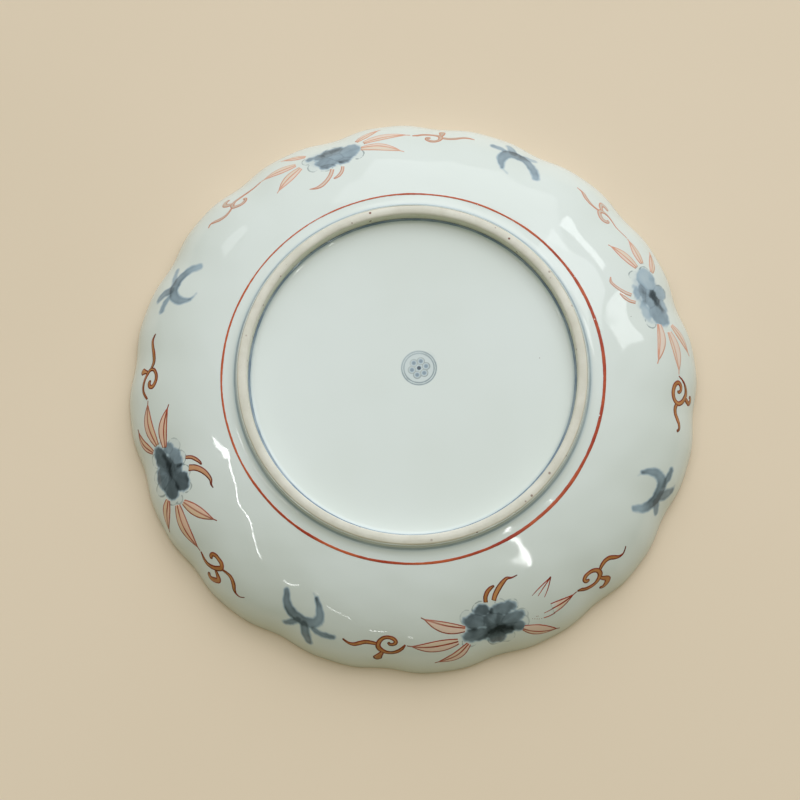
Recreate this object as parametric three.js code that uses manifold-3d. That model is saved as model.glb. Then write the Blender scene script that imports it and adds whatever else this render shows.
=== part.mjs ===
// A porcelain plate with a lobed rim and a foot ring, lying face down as it is photographed.
// Millimetres, +Z up. The rim stands on the plane z = 0 and the foot ring's land is the highest face.
// The origin is the centre of the rim's circle, on that plane.
import * as THREE from 'three';
import { mergeVertices } from 'three/addons/utils/BufferGeometryUtils.js';
import Module from 'manifold-3d';

// Dish body
const RIM_RADIUS = 107.5;        // mean outer radius at the rim
const TOTAL_HEIGHT = 30.5;       // from the rim's plane to the foot ring's land
const CROWN_DROP = 3.4;          // from the foot ring's land down to where the back's curve would run level
const CROWN_RADIUS = 53.75;      // radius at which it would run level
const LIP_THICKNESS = 3.4;       // wall at the rim
const LIP_ROUND = 1.0;           // rounding of both edges of the lip
const RECESS_DEPTH = 5.7;        // from the foot ring's land down to the floor inside it
const BASE_THICKNESS = 4.2;      // clay between the recess and the well
const WELL_CURVE_RADIUS = 56;    // radius at which the inside wall has run out into the flat well floor

// Lobes of the rim, fading into the round back
const LOBES = 16;
const LOBE_SWELL = 0.77;         // rise and fall of the radius, once a lobe
const LOBE_NOTCH = 0.23;         // twice a lobe: it flattens the lobes and sharpens the notches
const LOBE_TURN = 1.85;          // direction of the first lobe's middle, in degrees
const LOBE_FADE_RADIUS = 68;     // inside this radius the back is round
const LOBE_FADE_POWER = 1.3;
const OVAL = 0.44;               // the whole rim is a little oval, as a hand-made one is
const OVAL_TURN = 2.1;
const UNEVEN = 0.32;             // every second lobe stands out a little more
const UNEVEN_TURN = -5.2;

// Foot ring
const FOOT_ROOT_OUTER = 65.4;    // outer radius where it stands on the body
const FOOT_TOP_OUTER = 64.8;
const FOOT_ROOT_INNER = 60.9;
const FOOT_TOP_INNER = 61.0;
const FOOT_EDGE = 0.6;           // bevel of the land's two edges

// Enamel laid on the glaze
const ENAMEL_GAP = 0.3;          // clearance under every enamel stroke on the curved back
const ENAMEL_THICKNESS = 0.25;
const RED_RING_RADIUS = 70.6;
const RED_RING_WIDTH = 1.2;

// Sprays, each painted by hand with its own strokes. A place on the back is [u, s]: u runs along the
// rim's direction from the middle of the blossom, ahead of it where u is positive and behind it where
// it is negative, and s runs over the back from the rim towards the foot. A stroke of a scroll and a
// hook is a row of places with the brush's width at each: [u, s, width]. turn is in degrees.
const SPRAY_RADIUS = 95.3;       // radius at which u is measured
const LEFT = {
  turn: 197,
  leaves: {
    ahead: [
      { base: [8.6, 14.9], bow: [12.4, 10.5], tip: [17.5, 6.6], width: 4.2 },
      { base: [12.2, 18.1], bow: [19.7, 15.7], tip: [30.0, 13.9], width: 5.1 },
      { base: [12.6, 21.1], bow: [18.1, 24.0], tip: [26.4, 28.3], width: 4.6 },
    ],
    behind: [
      { base: [-9.5, 14.5], bow: [-13.9, 10.9], tip: [-19.6, 9.9], width: 3.7 },
      { base: [-11.2, 17.6], bow: [-19.5, 16.5], tip: [-28.3, 17.7], width: 4.8 },
      { base: [-9.3, 20.7], bow: [-16.1, 22.7], tip: [-24.9, 27.1], width: 4.0 },
    ],
  },
  scrolls: {
    ahead: {
      curl: [[30.9, 13.7, 0.8], [32.6, 13.0, 1.3], [34.3, 12.8, 1.6], [36.1, 13.4, 1.7], [37.7, 14.5, 1.8],
             [39.1, 15.9, 2.1], [39.9, 17.3, 2.1], [39.0, 18.5, 2.0], [37.1, 18.7, 1.8], [35.2, 18.5, 1.8],
             [34.1, 17.6, 1.8], [34.2, 16.6, 1.8], [35.2, 16.3, 1.5]],
      spur: [[38.5, 14.5, 1.0], [40.6, 13.5, 1.9], [41.7, 12.3, 2.3], [40.6, 10.9, 2.3], [39.0, 9.8, 2.0],
             [37.7, 10.0, 1.7], [37.6, 11.2, 1.2]],
      tail: [[40.1, 17.0, 0.9], [42.6, 17.6, 1.2], [44.3, 17.6, 1.5], [45.9, 16.8, 1.7], [47.2, 15.5, 1.8],
             [48.2, 14.1, 1.4], [49.5, 13.2, 0.8], [51.1, 13.1, 0.5], [52.7, 14.3, 0.4]],
    },
    behind: {
      curl: [[-29.3, 17.0, 1.1], [-30.4, 16.2, 1.2], [-31.9, 15.4, 1.2], [-34.0, 15.1, 1.3], [-36.3, 15.5, 1.4],
             [-38.2, 16.4, 1.6], [-39.6, 17.6, 1.6], [-39.6, 19.2, 1.4], [-38.4, 20.5, 1.4], [-36.5, 21.3, 1.5],
             [-34.6, 21.1, 1.6], [-33.0, 19.9, 1.8], [-33.3, 18.6, 1.7], [-34.7, 18.2, 1.6], [-35.5, 18.9, 1.2]],
      spur: [[-38.7, 16.7, 1.3], [-39.2, 14.8, 1.8], [-39.4, 13.4, 2.9], [-39.2, 12.2, 3.0]],
      tail: [[-39.7, 17.8, 1.3], [-42.4, 18.6, 1.6], [-45.5, 18.0, 1.8], [-48.4, 17.0, 1.6], [-50.5, 16.6, 1.4],
             [-52.2, 17.1, 1.0], [-53.4, 17.8, 0.5]],
    },
  },
  hooks: [
    [[2.3, 28.8, 2.8], [3.4, 31.2, 2.6], [5.5, 33.2, 2.4], [8.3, 34.5, 2.0], [11.2, 34.9, 1.4],
     [12.8, 34.3, 0.9], [14.7, 34.3, 0.4]],
    [[-2.2, 28.7, 1.5], [-1.2, 31.0, 1.6], [0.6, 32.7, 1.6], [2.5, 33.8, 1.2], [3.6, 34.0, 0.7]],
  ],
};
const NEAR = {
  turn: 284,
  leaves: {
    ahead: [
      { base: [9.3, 14.8], bow: [13.9, 11.1], tip: [20.8, 5.9], width: 4.8 },
      { base: [12.6, 17.7], bow: [21.7, 16.9], tip: [31.7, 16.2], width: 4.9 },
      { base: [11.4, 21.6], bow: [18.2, 24.5], tip: [26.3, 28.1], width: 4.4 },
    ],
    behind: [
      { base: [-10.5, 15.4], bow: [-15.4, 11.3], tip: [-22.8, 9.1], width: 4.0 },
      { base: [-14.0, 17.6], bow: [-22.5, 16.8], tip: [-32.1, 17.1], width: 5.1 },
      { base: [-10.9, 21.8], bow: [-18.5, 24.2], tip: [-26.9, 28.6], width: 4.7 },
    ],
  },
  scrolls: {
    ahead: {
      curl: [[32.6, 15.9, 1.0], [33.5, 15.4, 1.5], [34.8, 14.4, 1.5], [36.8, 13.7, 1.6], [38.8, 13.7, 1.5],
             [40.7, 14.6, 1.7], [42.1, 16.1, 2.1], [42.1, 17.8, 2.1], [40.9, 18.9, 1.9], [39.0, 19.2, 1.6],
             [37.2, 18.8, 1.7], [36.2, 17.8, 1.7], [36.7, 16.8, 1.7], [37.9, 17.0, 1.3]],
      spur: [[41.0, 14.9, 1.2], [42.3, 13.3, 2.1], [43.2, 12.0, 2.5], [42.0, 10.5, 2.1], [40.4, 9.9, 1.6],
             [39.1, 10.6, 1.2]],
      tail: [[42.3, 17.2, 1.0], [44.3, 18.5, 1.6], [46.3, 19.1, 1.8], [48.2, 18.7, 1.9], [49.7, 17.3, 1.8],
             [51.1, 16.0, 1.2], [52.8, 15.4, 0.7], [54.3, 15.9, 0.6], [55.5, 16.6, 0.5]],
    },
    behind: {
      curl: [[-33.0, 16.8, 0.9], [-33.8, 15.5, 1.3], [-35.3, 13.9, 1.5], [-37.0, 12.9, 1.5], [-39.0, 12.7, 1.7],
             [-41.0, 13.7, 2.1], [-42.1, 15.3, 2.0], [-42.0, 17.2, 1.9], [-40.7, 19.0, 1.8], [-38.8, 19.6, 1.7],
             [-36.8, 19.1, 1.8], [-36.0, 17.9, 1.6], [-37.0, 16.7, 1.5], [-38.4, 16.7, 1.4], [-38.3, 17.7, 1.0]],
      spur: [[-40.2, 13.3, 1.3], [-41.2, 11.4, 2.2], [-42.0, 9.8, 3.4], [-42.2, 8.5, 2.6]],
      tail: [[-42.2, 16.2, 1.4], [-44.3, 16.8, 1.8], [-46.8, 17.0, 1.9], [-48.8, 16.2, 1.9], [-50.6, 15.4, 1.7],
             [-52.7, 15.6, 1.1], [-54.8, 16.7, 0.8]],
    },
  },
  hooks: [
    [[2.2, 29.1, 1.9], [3.5, 31.0, 2.1], [5.6, 33.0, 2.2], [8.2, 34.7, 1.9], [10.4, 35.5, 1.3],
     [12.2, 35.0, 0.7], [14.9, 35.0, 0.4]],
    [[-1.0, 29.2, 1.8], [-0.5, 31.2, 1.9], [0.8, 32.9, 1.9], [2.6, 34.0, 1.6], [4.4, 34.5, 0.8]],
  ],
};
const RIGHT = {
  turn: 15.7,
  leaves: {
    ahead: [
      { base: [8.9, 15.9], bow: [12.3, 12.7], tip: [17.0, 9.2], width: 3.2 },
      { base: [13.2, 18.5], bow: [18.4, 18.1], tip: [24.2, 17.2], width: 3.6 },
      { base: [12.3, 22.0], bow: [18.0, 24.2], tip: [25.4, 27.4], width: 3.9 },
    ],
    behind: [
      { base: [-12.0, 16.0], bow: [-17.0, 12.6], tip: [-23.0, 9.5], width: 3.6 },
      { base: [-14.6, 18.5], bow: [-21.7, 17.0], tip: [-30.6, 17.1], width: 4.4 },
      { base: [-11.5, 22.2], bow: [-18.6, 23.5], tip: [-27.5, 26.9], width: 3.9 },
    ],
  },
  scrolls: {
    ahead: {
      curl: [[25.1, 17.2, 0.5], [27.5, 17.3, 0.5], [30.1, 17.3, 0.6], [32.3, 16.6, 0.7], [34.7, 16.2, 0.9],
             [36.8, 16.6, 1.3], [38.2, 17.6, 1.9], [38.5, 18.8, 2.0], [37.3, 19.9, 1.9], [35.5, 20.3, 1.8],
             [33.9, 19.6, 1.7], [33.3, 18.7, 1.4], [34.2, 18.2, 1.1]],
      spur: [[38.0, 17.4, 1.3], [39.9, 16.0, 2.0], [40.3, 14.6, 2.2], [38.8, 13.8, 1.8], [37.0, 13.9, 1.4]],
      tail: [[38.8, 18.6, 0.9], [41.8, 19.5, 1.0], [43.8, 19.5, 1.3], [45.9, 18.9, 1.7], [47.6, 17.9, 1.5],
             [49.0, 17.3, 0.8], [51.2, 17.1, 0.5]],
    },
    behind: {
      curl: [[-31.5, 16.6, 0.6], [-32.3, 15.3, 0.8], [-33.5, 14.0, 1.0], [-35.2, 12.9, 1.4], [-37.0, 12.4, 1.9],
             [-38.9, 13.0, 2.1], [-40.5, 14.4, 1.9], [-41.2, 16.1, 1.9], [-40.5, 17.8, 1.8], [-38.9, 18.9, 1.8],
             [-36.7, 19.3, 1.9], [-34.6, 18.7, 2.0], [-33.6, 17.3, 1.8], [-34.5, 15.9, 1.6], [-36.1, 15.5, 1.5],
             [-37.1, 16.4, 1.3], [-36.5, 17.2, 0.9]],
      spur: [[-38.3, 13.0, 1.4], [-39.3, 11.2, 2.0], [-39.9, 9.8, 1.8], [-38.9, 8.6, 1.8], [-37.7, 9.0, 1.5],
             [-37.6, 10.0, 1.1]],
      tail: [[-41.0, 16.5, 1.6], [-43.2, 17.5, 1.8], [-45.3, 17.3, 1.7], [-47.0, 16.3, 1.8], [-48.6, 15.4, 1.5],
             [-50.3, 15.3, 1.2], [-51.5, 16.4, 1.0]],
    },
  },
  hooks: [
    [[2.1, 29.8, 1.5], [3.7, 31.9, 1.6], [5.7, 33.6, 1.4], [8.0, 35.0, 1.3], [10.3, 35.7, 1.2], [12.4, 34.8, 0.5]],
    [[-1.3, 29.0, 1.4], [-0.1, 31.3, 1.5], [2.0, 33.1, 1.5], [4.2, 34.3, 0.8]],
  ],
};
const FAR = {
  turn: 104.9,
  leaves: {
    ahead: [
      { base: [9.6, 17.1], bow: [13.4, 14.5], tip: [18.0, 11.2], width: 3.0 },
      { base: [14.5, 19.8], bow: [21.0, 18.4], tip: [28.6, 16.9], width: 3.9 },
      { base: [13.5, 22.7], bow: [19.5, 24.9], tip: [27.2, 28.3], width: 4.1 },
    ],
    behind: [
      { base: [-10.2, 17.5], bow: [-15.0, 14.6], tip: [-20.0, 11.6], width: 3.3 },
      { base: [-12.8, 19.7], bow: [-20.6, 18.2], tip: [-30.8, 17.9], width: 3.9 },
      { base: [-11.3, 22.8], bow: [-18.9, 24.3], tip: [-28.3, 28.3], width: 4.3 },
    ],
  },
  scrolls: {
    ahead: {
      curl: [[29.4, 16.9, 0.7], [32.0, 17.0, 0.8], [35.5, 16.8, 1.1], [38.4, 16.8, 1.2], [41.2, 17.1, 1.4],
             [42.8, 18.1, 1.8], [43.2, 19.4, 1.8], [41.8, 20.5, 1.6], [39.9, 21.0, 1.5], [38.2, 20.4, 1.5],
             [37.5, 19.4, 1.3], [38.4, 18.9, 1.0]],
      spur: [[42.3, 17.7, 1.4], [43.8, 16.2, 2.1], [44.4, 14.7, 2.2], [43.1, 13.3, 1.8], [41.5, 13.4, 1.3]],
      tail: [[43.2, 19.1, 0.9], [45.9, 20.2, 1.1], [48.2, 20.3, 1.3], [50.3, 19.3, 1.6], [52.0, 17.9, 1.3],
             [53.4, 16.9, 0.8], [55.2, 17.5, 0.5]],
    },
    behind: {
      curl: [[-32.2, 18.0, 0.8], [-33.6, 17.6, 1.1], [-35.1, 16.7, 1.2], [-37.3, 16.0, 1.2], [-39.8, 15.7, 1.3],
             [-41.7, 16.2, 1.8], [-42.3, 17.6, 2.0], [-41.8, 19.2, 1.6], [-40.5, 20.2, 1.5], [-38.6, 20.4, 1.7],
             [-37.0, 19.5, 1.6], [-37.3, 18.4, 1.3], [-38.5, 18.2, 1.1]],
      spur: [[-41.9, 16.7, 1.6], [-42.5, 14.8, 2.0], [-42.5, 13.0, 2.6], [-42.2, 11.6, 2.4]],
      tail: [[-42.5, 17.4, 1.5], [-45.5, 18.0, 1.6], [-47.7, 17.7, 1.7], [-49.7, 16.9, 1.4], [-51.4, 16.3, 1.4],
             [-53.1, 16.2, 1.0], [-54.9, 16.4, 0.5]],
    },
  },
  hooks: [
    [[2.3, 29.5, 1.8], [3.9, 32.1, 1.8], [6.4, 34.3, 1.8], [9.5, 35.7, 1.8], [12.2, 35.8, 1.2], [15.0, 34.9, 0.4]],
    [[-2.2, 29.6, 1.5], [-1.2, 31.8, 1.6], [0.6, 33.5, 1.6], [3.4, 34.6, 0.8]],
  ],
};
const BRANCH_SINK = 0.04;        // a tail and a spur run into the curl just below its top
const POINT_WIDTH = 0.3;         // width to which a leaf or a tail runs out

// Facets
const AROUND = 128;              // a whole number to each lobe
const WALL_STEPS = 10;
const INSIDE_STEPS = 7;
const LEAF_STEPS = 8;
const CURL_STEPS = 34;
const BRANCH_STEPS = 12;

// Heights and radii that follow from the sizes above
const WALL_HEIGHT = TOTAL_HEIGHT - CROWN_DROP;
const RECESS_Z = TOTAL_HEIGHT - RECESS_DEPTH;
const WELL_Z = RECESS_Z - BASE_THICKNESS;
const INNER_RIM_RADIUS = RIM_RADIUS - LIP_THICKNESS;
const FOOT_SEAT_Z = backAt(backAngle(FOOT_ROOT_OUTER)).y;

// The back's curve is a quarter of an ellipse: angle 0 is the rim, and a right angle is the level crown.
function backAt(angle) {
  return new THREE.Vector2(
    CROWN_RADIUS + (RIM_RADIUS - CROWN_RADIUS) * Math.cos(angle),
    WALL_HEIGHT * Math.sin(angle),
  );
}

function backAngle(radius) {
  return Math.acos((radius - CROWN_RADIUS) / (RIM_RADIUS - CROWN_RADIUS));
}

function backNormal(angle) {
  return new THREE.Vector2(
    WALL_HEIGHT * Math.cos(angle),
    (RIM_RADIUS - CROWN_RADIUS) * Math.sin(angle),
  ).normalize();
}

// The angle on the back's curve at a distance from the rim, measured over the curve.
function backAngleAt(distance) {
  const step = 0.002;
  let angle = 0;
  let travelled = 0;
  while (travelled < distance) {
    travelled += backAt(angle).distanceTo(backAt(angle + step));
    angle += step;
  }
  return angle;
}

// How far the lobed rim stands out from a true circle, faded to nothing near the foot.
function lobeAt(turn, radius) {
  const wave = (count, from) => Math.cos(count * (turn - THREE.MathUtils.degToRad(from)));
  const rim = LOBE_SWELL * wave(LOBES, LOBE_TURN) - LOBE_NOTCH * wave(2 * LOBES, LOBE_TURN)
    + OVAL * wave(2, OVAL_TURN) + UNEVEN * wave(LOBES / 2, UNEVEN_TURN);
  const out = (radius - LOBE_FADE_RADIUS) / (RIM_RADIUS - LOBE_FADE_RADIUS);
  return rim * THREE.MathUtils.clamp(out, 0, 1) ** LOBE_FADE_POWER;
}

// A solid turned about Z from [radius, height] points, then pushed out to the lobes.
function turned(points) {
  const lathe = new THREE.LatheGeometry(points.map(([r, z]) => new THREE.Vector2(r, z)), AROUND);
  lathe.rotateX(Math.PI / 2);
  lathe.deleteAttribute('normal');
  lathe.deleteAttribute('uv');
  const solid = mergeVertices(lathe, 1e-4);
  const place = solid.getAttribute('position');
  for (let i = 0; i < place.count; i++) {
    const radius = Math.hypot(place.getX(i), place.getY(i));
    if (radius <= LOBE_FADE_RADIUS) continue;
    const grown = 1 + lobeAt(Math.atan2(place.getY(i), place.getX(i)), radius) / radius;
    place.setXY(i, place.getX(i) * grown, place.getY(i) * grown);
  }
  return facingOut(solid);
}

function dishBody() {
  const outline = [[0, RECESS_Z], [FOOT_ROOT_INNER, RECESS_Z], [FOOT_ROOT_INNER, FOOT_SEAT_Z]];
  const foot = backAngle(FOOT_ROOT_OUTER);
  const lip = Math.asin(LIP_ROUND / WALL_HEIGHT);
  for (let i = 0; i <= WALL_STEPS; i++) {
    const at = backAt(THREE.MathUtils.lerp(foot, lip, i / WALL_STEPS));
    outline.push([at.x, at.y]);
  }
  const soft = LIP_ROUND * (1 - Math.SQRT1_2);
  outline.push([RIM_RADIUS - soft, soft], [RIM_RADIUS - LIP_ROUND, 0]);
  outline.push([INNER_RIM_RADIUS + LIP_ROUND, 0], [INNER_RIM_RADIUS + soft, soft]);
  const inside = Math.asin(LIP_ROUND / WELL_Z);
  for (let i = 0; i <= INSIDE_STEPS; i++) {
    const angle = THREE.MathUtils.lerp(inside, Math.PI / 2, i / INSIDE_STEPS);
    const reach = INNER_RIM_RADIUS - WELL_CURVE_RADIUS;
    outline.push([WELL_CURVE_RADIUS + reach * Math.cos(angle), WELL_Z * Math.sin(angle)]);
  }
  outline.push([0, WELL_Z]);
  return turned(outline);
}

function footRing() {
  return turned([
    [FOOT_ROOT_INNER, FOOT_SEAT_Z],
    [FOOT_TOP_INNER, TOTAL_HEIGHT - FOOT_EDGE],
    [FOOT_TOP_INNER + FOOT_EDGE, TOTAL_HEIGHT],
    [FOOT_TOP_OUTER - FOOT_EDGE, TOTAL_HEIGHT],
    [FOOT_TOP_OUTER, TOTAL_HEIGHT - FOOT_EDGE],
    [FOOT_ROOT_OUTER, FOOT_SEAT_Z],
    [FOOT_ROOT_INNER, FOOT_SEAT_Z],
  ]);
}

function redRing() {
  const angle = backAngle(RED_RING_RADIUS);
  const out = backNormal(angle);
  const along = new THREE.Vector2(out.y, -out.x);
  const corner = (side, lift) => {
    const at = backAt(angle).addScaledVector(along, side * RED_RING_WIDTH / 2).addScaledVector(out, lift);
    return [at.x, at.y];
  };
  const high = ENAMEL_GAP + ENAMEL_THICKNESS;
  return turned([
    corner(-1, ENAMEL_GAP), corner(-1, high), corner(1, high), corner(1, ENAMEL_GAP), corner(-1, ENAMEL_GAP),
  ]);
}

// A place on the lobed back: its direction, its distance from the rim over the curve, and a lift off the glaze.
function onBack(turn, distance, lift) {
  const angle = backAngleAt(distance);
  const at = backAt(angle);
  const radius = at.x + lobeAt(turn, at.x) + backNormal(angle).x * lift;
  const height = at.y + backNormal(angle).y * lift;
  return new THREE.Vector3(radius * Math.cos(turn), radius * Math.sin(turn), height);
}

// One enamel stroke: a flat closed strip along a path of [u, s] places, widthAt(0 to 1) wide.
// A stroke that is sunk is that much thinner above and below.
function stroke(turn, path, steps, widthAt, sunk = 0) {
  const line = new THREE.CatmullRomCurve3(path.map(([u, s]) => new THREE.Vector3(u, s, 0)));
  const corners = [];
  for (let i = 0; i <= steps; i++) {
    const at = line.getPointAt(i / steps);
    const ahead = line.getTangentAt(i / steps);
    const half = Math.max(widthAt(line.getUtoTmapping(i / steps)), POINT_WIDTH) / 2;
    const top = ENAMEL_THICKNESS - sunk;
    for (const [side, lift] of [[-1, sunk], [1, sunk], [1, top], [-1, top]]) {
      const u = at.x - ahead.y * half * side;
      const s = at.y + ahead.x * half * side;
      corners.push(...onBack(turn + u / SPRAY_RADIUS, s, ENAMEL_GAP + lift).toArray());
    }
  }
  const faces = [0, 1, 2, 0, 2, 3];
  for (let i = 0; i < steps; i++) {
    for (let side = 0; side < 4; side++) {
      const a = 4 * i + side;
      const b = 4 * i + (side + 1) % 4;
      faces.push(a, a + 4, b, b, a + 4, b + 4);
    }
  }
  const end = 4 * steps;
  faces.push(end, end + 2, end + 1, end, end + 3, end + 2);
  const solid = new THREE.BufferGeometry();
  solid.setAttribute('position', new THREE.Float32BufferAttribute(corners, 3));
  solid.setIndex(faces);
  return facingOut(solid);
}

// The same solid with its faces turned outwards, whichever way round it was drawn.
function facingOut(solid) {
  const place = solid.getAttribute('position');
  const corner = (i) => new THREE.Vector3().fromBufferAttribute(place, solid.index.getX(i));
  let volume = 0;
  for (let i = 0; i < solid.index.count; i += 3) {
    volume += corner(i).dot(corner(i + 1).cross(corner(i + 2))) / 6;
  }
  if (volume < 0) solid.setIndex([...solid.index.array].reverse());
  return solid;
}

const leafShape = (t) => Math.sin(Math.PI * Math.min(0.16 + 0.84 * t, 1));

// The brush's width between the [u, s, width] places of a stroke, t being 0 at the first and 1 at the last.
function brushWidth(path, t) {
  const along = t * (path.length - 1);
  const i = Math.min(Math.floor(along), path.length - 2);
  return THREE.MathUtils.lerp(path[i][2], path[i + 1][2], along - i);
}

function brushStroke(turn, path, steps, sunk = 0) {
  return stroke(turn, path, steps, (t) => brushWidth(path, t), sunk);
}

const wasm = await Module();
wasm.setup();

function joined(geometries) {
  const solids = geometries.map((geometry) => new wasm.Manifold(new wasm.Mesh({
    numProp: 3,
    vertProperties: geometry.getAttribute('position').array,
    triVerts: new Uint32Array(geometry.index.array),
  })));
  const whole = solids.reduce((sum, solid) => sum.add(solid)).getMesh();
  const geometry = new THREE.BufferGeometry();
  geometry.setAttribute('position', new THREE.BufferAttribute(whole.vertProperties, 3));
  geometry.setIndex(new THREE.BufferAttribute(whole.triVerts, 1));
  return geometry;
}

function scroll(turn, { curl, spur, tail }) {
  return joined([
    brushStroke(turn, curl, CURL_STEPS),
    brushStroke(turn, tail, BRANCH_STEPS, BRANCH_SINK),
    brushStroke(turn, spur, BRANCH_STEPS, BRANCH_SINK),
  ]);
}

function finish(color, roughness) {
  return new THREE.MeshStandardMaterial({ color, roughness, metalness: 0 });
}

const plate = new THREE.Group();

function add(name, geometry, material) {
  const mesh = new THREE.Mesh(geometry, material);
  mesh.name = name;
  plate.add(mesh);
}

add('dish_body', dishBody(), finish('#d6ddd9', 0.12));
add('foot_ring', footRing(), finish('#d9d3bd', 0.7));
add('red_ring', redRing(), finish('#b0432a', 0.3));
for (const [name, spray] of Object.entries({ left: LEFT, near: NEAR, right: RIGHT, far: FAR })) {
  const turn = THREE.MathUtils.degToRad(spray.turn);
  for (const hand of ['ahead', 'behind']) {
    spray.leaves[hand].forEach(({ base, bow, tip, width }, i) => {
      const solid = stroke(turn, [base, bow, tip], LEAF_STEPS, (t) => width * leafShape(t));
      add(`${name}_leaf_${hand}_${i + 1}`, solid, finish('#d48a66', 0.35));
    });
    add(`${name}_scroll_${hand}`, scroll(turn, spray.scrolls[hand]), finish('#9a6a3c', 0.35));
  }
  spray.hooks.forEach((path, i) => {
    add(`${name}_hook_${i + 1}`, brushStroke(turn, path, BRANCH_STEPS), finish('#9a6a3c', 0.35));
  });
}

export default plate;
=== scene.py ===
import math

import bpy
import numpy as np
from mathutils import Matrix, Vector


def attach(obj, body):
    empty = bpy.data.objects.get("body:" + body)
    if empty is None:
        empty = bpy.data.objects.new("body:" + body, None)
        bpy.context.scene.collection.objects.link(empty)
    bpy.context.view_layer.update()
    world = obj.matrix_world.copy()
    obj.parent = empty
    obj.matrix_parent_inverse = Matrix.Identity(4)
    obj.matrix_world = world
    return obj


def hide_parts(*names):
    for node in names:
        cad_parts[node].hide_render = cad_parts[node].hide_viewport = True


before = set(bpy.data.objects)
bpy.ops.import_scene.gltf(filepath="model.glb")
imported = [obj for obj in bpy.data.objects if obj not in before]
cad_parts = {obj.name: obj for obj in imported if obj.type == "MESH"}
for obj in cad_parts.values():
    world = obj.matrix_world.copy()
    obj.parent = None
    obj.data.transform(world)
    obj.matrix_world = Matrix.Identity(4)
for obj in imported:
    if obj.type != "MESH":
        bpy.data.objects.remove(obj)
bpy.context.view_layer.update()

# A porcelain plate with a lobed rim, lying face down. Sizes are millimetres up to the last step,
# where a mesh is made. The rim stands on z = 0 and the foot ring's land is the highest face.
MM = 0.001

# Dish body
RIM_RADIUS = 107.5
TOTAL_HEIGHT = 30.5
CROWN_DROP = 3.4
CROWN_RADIUS = 53.75
LIP_THICKNESS = 3.4
LIP_ROUND = 1.0
RECESS_DEPTH = 5.7
BASE_THICKNESS = 4.2
WELL_CURVE_RADIUS = 56.0
WALL_HEIGHT = TOTAL_HEIGHT - CROWN_DROP
RECESS_Z = TOTAL_HEIGHT - RECESS_DEPTH
WELL_Z = RECESS_Z - BASE_THICKNESS
INNER_RIM_RADIUS = RIM_RADIUS - LIP_THICKNESS
RECESS_CROWN = 0.2               # the fired base sags a little, so the recess floor rises to its middle

# Lobes of the rim
LOBES = 16
LOBE_SWELL = 0.77
LOBE_NOTCH = 0.23
LOBE_TURN = 1.85
LOBE_FADE_RADIUS = 68.0
LOBE_FADE_POWER = 1.3
OVAL = 0.44
OVAL_TURN = 2.1
UNEVEN = 0.32
UNEVEN_TURN = -5.2

# Foot ring
FOOT_TOP_OUTER = 64.8
FOOT_ROOT_INNER = 60.9
GLAZE_SKIN = 0.15                # the glaze on the foot's outer side ends this far proud of the clay
GLAZE_END = 0.85                 # height of that end below the land
LAND_MIDDLE = 62.65              # the land is crowned: its highest circle
LAND_CROWN = 3.2                 # radius of that crown
CLAY_OUTER = 64.55               # the bare clay's outer side under the glaze's end
FILLET = 2.4                     # hollow curve where the recess floor runs up into the foot
FILLET_MIDDLE = 58.6             # radius at which that curve begins
GLAZE_ROOT = 68.6                # radius at which the glaze has run out from the foot into the wall

# Blue painting under the glaze
WELL_CIRCLES = (50.0, 51.8)      # radii of the two circles round the well, on the unseen face
CIRCLE_REACH = 3.0               # distances to a circle or an outline are kept up to this
MOTIF_REACH = 16.0               # a blossom or bird lies within this distance of its middle
MOTIF_FROM = 3.0                 # and between these distances from the rim
MOTIF_TO = 34.0

# Enamel
RED_RING_RADIUS = 70.6
ENAMEL_RISE = 0.09               # a stroke stands this far out of the glaze at its middle
ENAMEL_SINK = 0.03               # its edges dip this far under the glaze
ENAMEL_ROOT = 0.2                # and its underside lies this far below the glaze

# Mesh
AROUND = 384
SPLIT = 5                        # painted cells of the back are divided this many times each way
WALL_STEP = 1.65                 # spacing of the rings of vertices over the back
MARK_STEP = 0.33                 # their spacing under the mark inside the foot
MARK_REACH = 10.4                # radius up to which they are that close
PATH_STEPS = 24                  # a curve through places has this many steps from one to the next
STROKE_STEPS = 39                # and a stroke of blue has this many in all


def back_at(angle):
    """Radius and height on the back's quarter ellipse: 0 is the rim, a right angle the level crown."""
    return (CROWN_RADIUS + (RIM_RADIUS - CROWN_RADIUS) * np.cos(angle), WALL_HEIGHT * np.sin(angle))


ANGLES = np.linspace(0.0, math.pi / 2, 2001)
LENGTHS = np.concatenate(([0.0], np.cumsum(np.hypot(*np.diff(np.array(back_at(ANGLES)))))))


def distance_at(radius):
    """Distance over the back, from the rim to a radius."""
    return float(np.interp(math.acos((radius - CROWN_RADIUS) / (RIM_RADIUS - CROWN_RADIUS)), ANGLES, LENGTHS))


def lobe_at(turn, radius):
    """How far the lobed rim stands out from a true circle, faded to nothing near the foot."""
    def wave(count, start):
        return np.cos(count * (turn - math.radians(start)))
    rim = LOBE_SWELL * wave(LOBES, LOBE_TURN) - LOBE_NOTCH * wave(2 * LOBES, LOBE_TURN)
    rim = rim + OVAL * wave(2, OVAL_TURN) + UNEVEN * wave(LOBES // 2, UNEVEN_TURN)
    out = np.clip((radius - LOBE_FADE_RADIUS) / (RIM_RADIUS - LOBE_FADE_RADIUS), 0.0, 1.0)
    return rim * out ** LOBE_FADE_POWER


# Long shallow waves that pressing and firing leave in the wall: turns round the plate, waves per
# millimetre towards the foot, start, and height
WALL_WAVES = (
    (7, 0.045, 0.4, 0.042),
    (13, -0.030, 2.1, 0.034),
    (19, 0.085, 4.0, 0.020),
    (29, -0.110, 1.2, 0.012),
    (41, 0.060, 5.1, 0.008),
)


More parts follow.
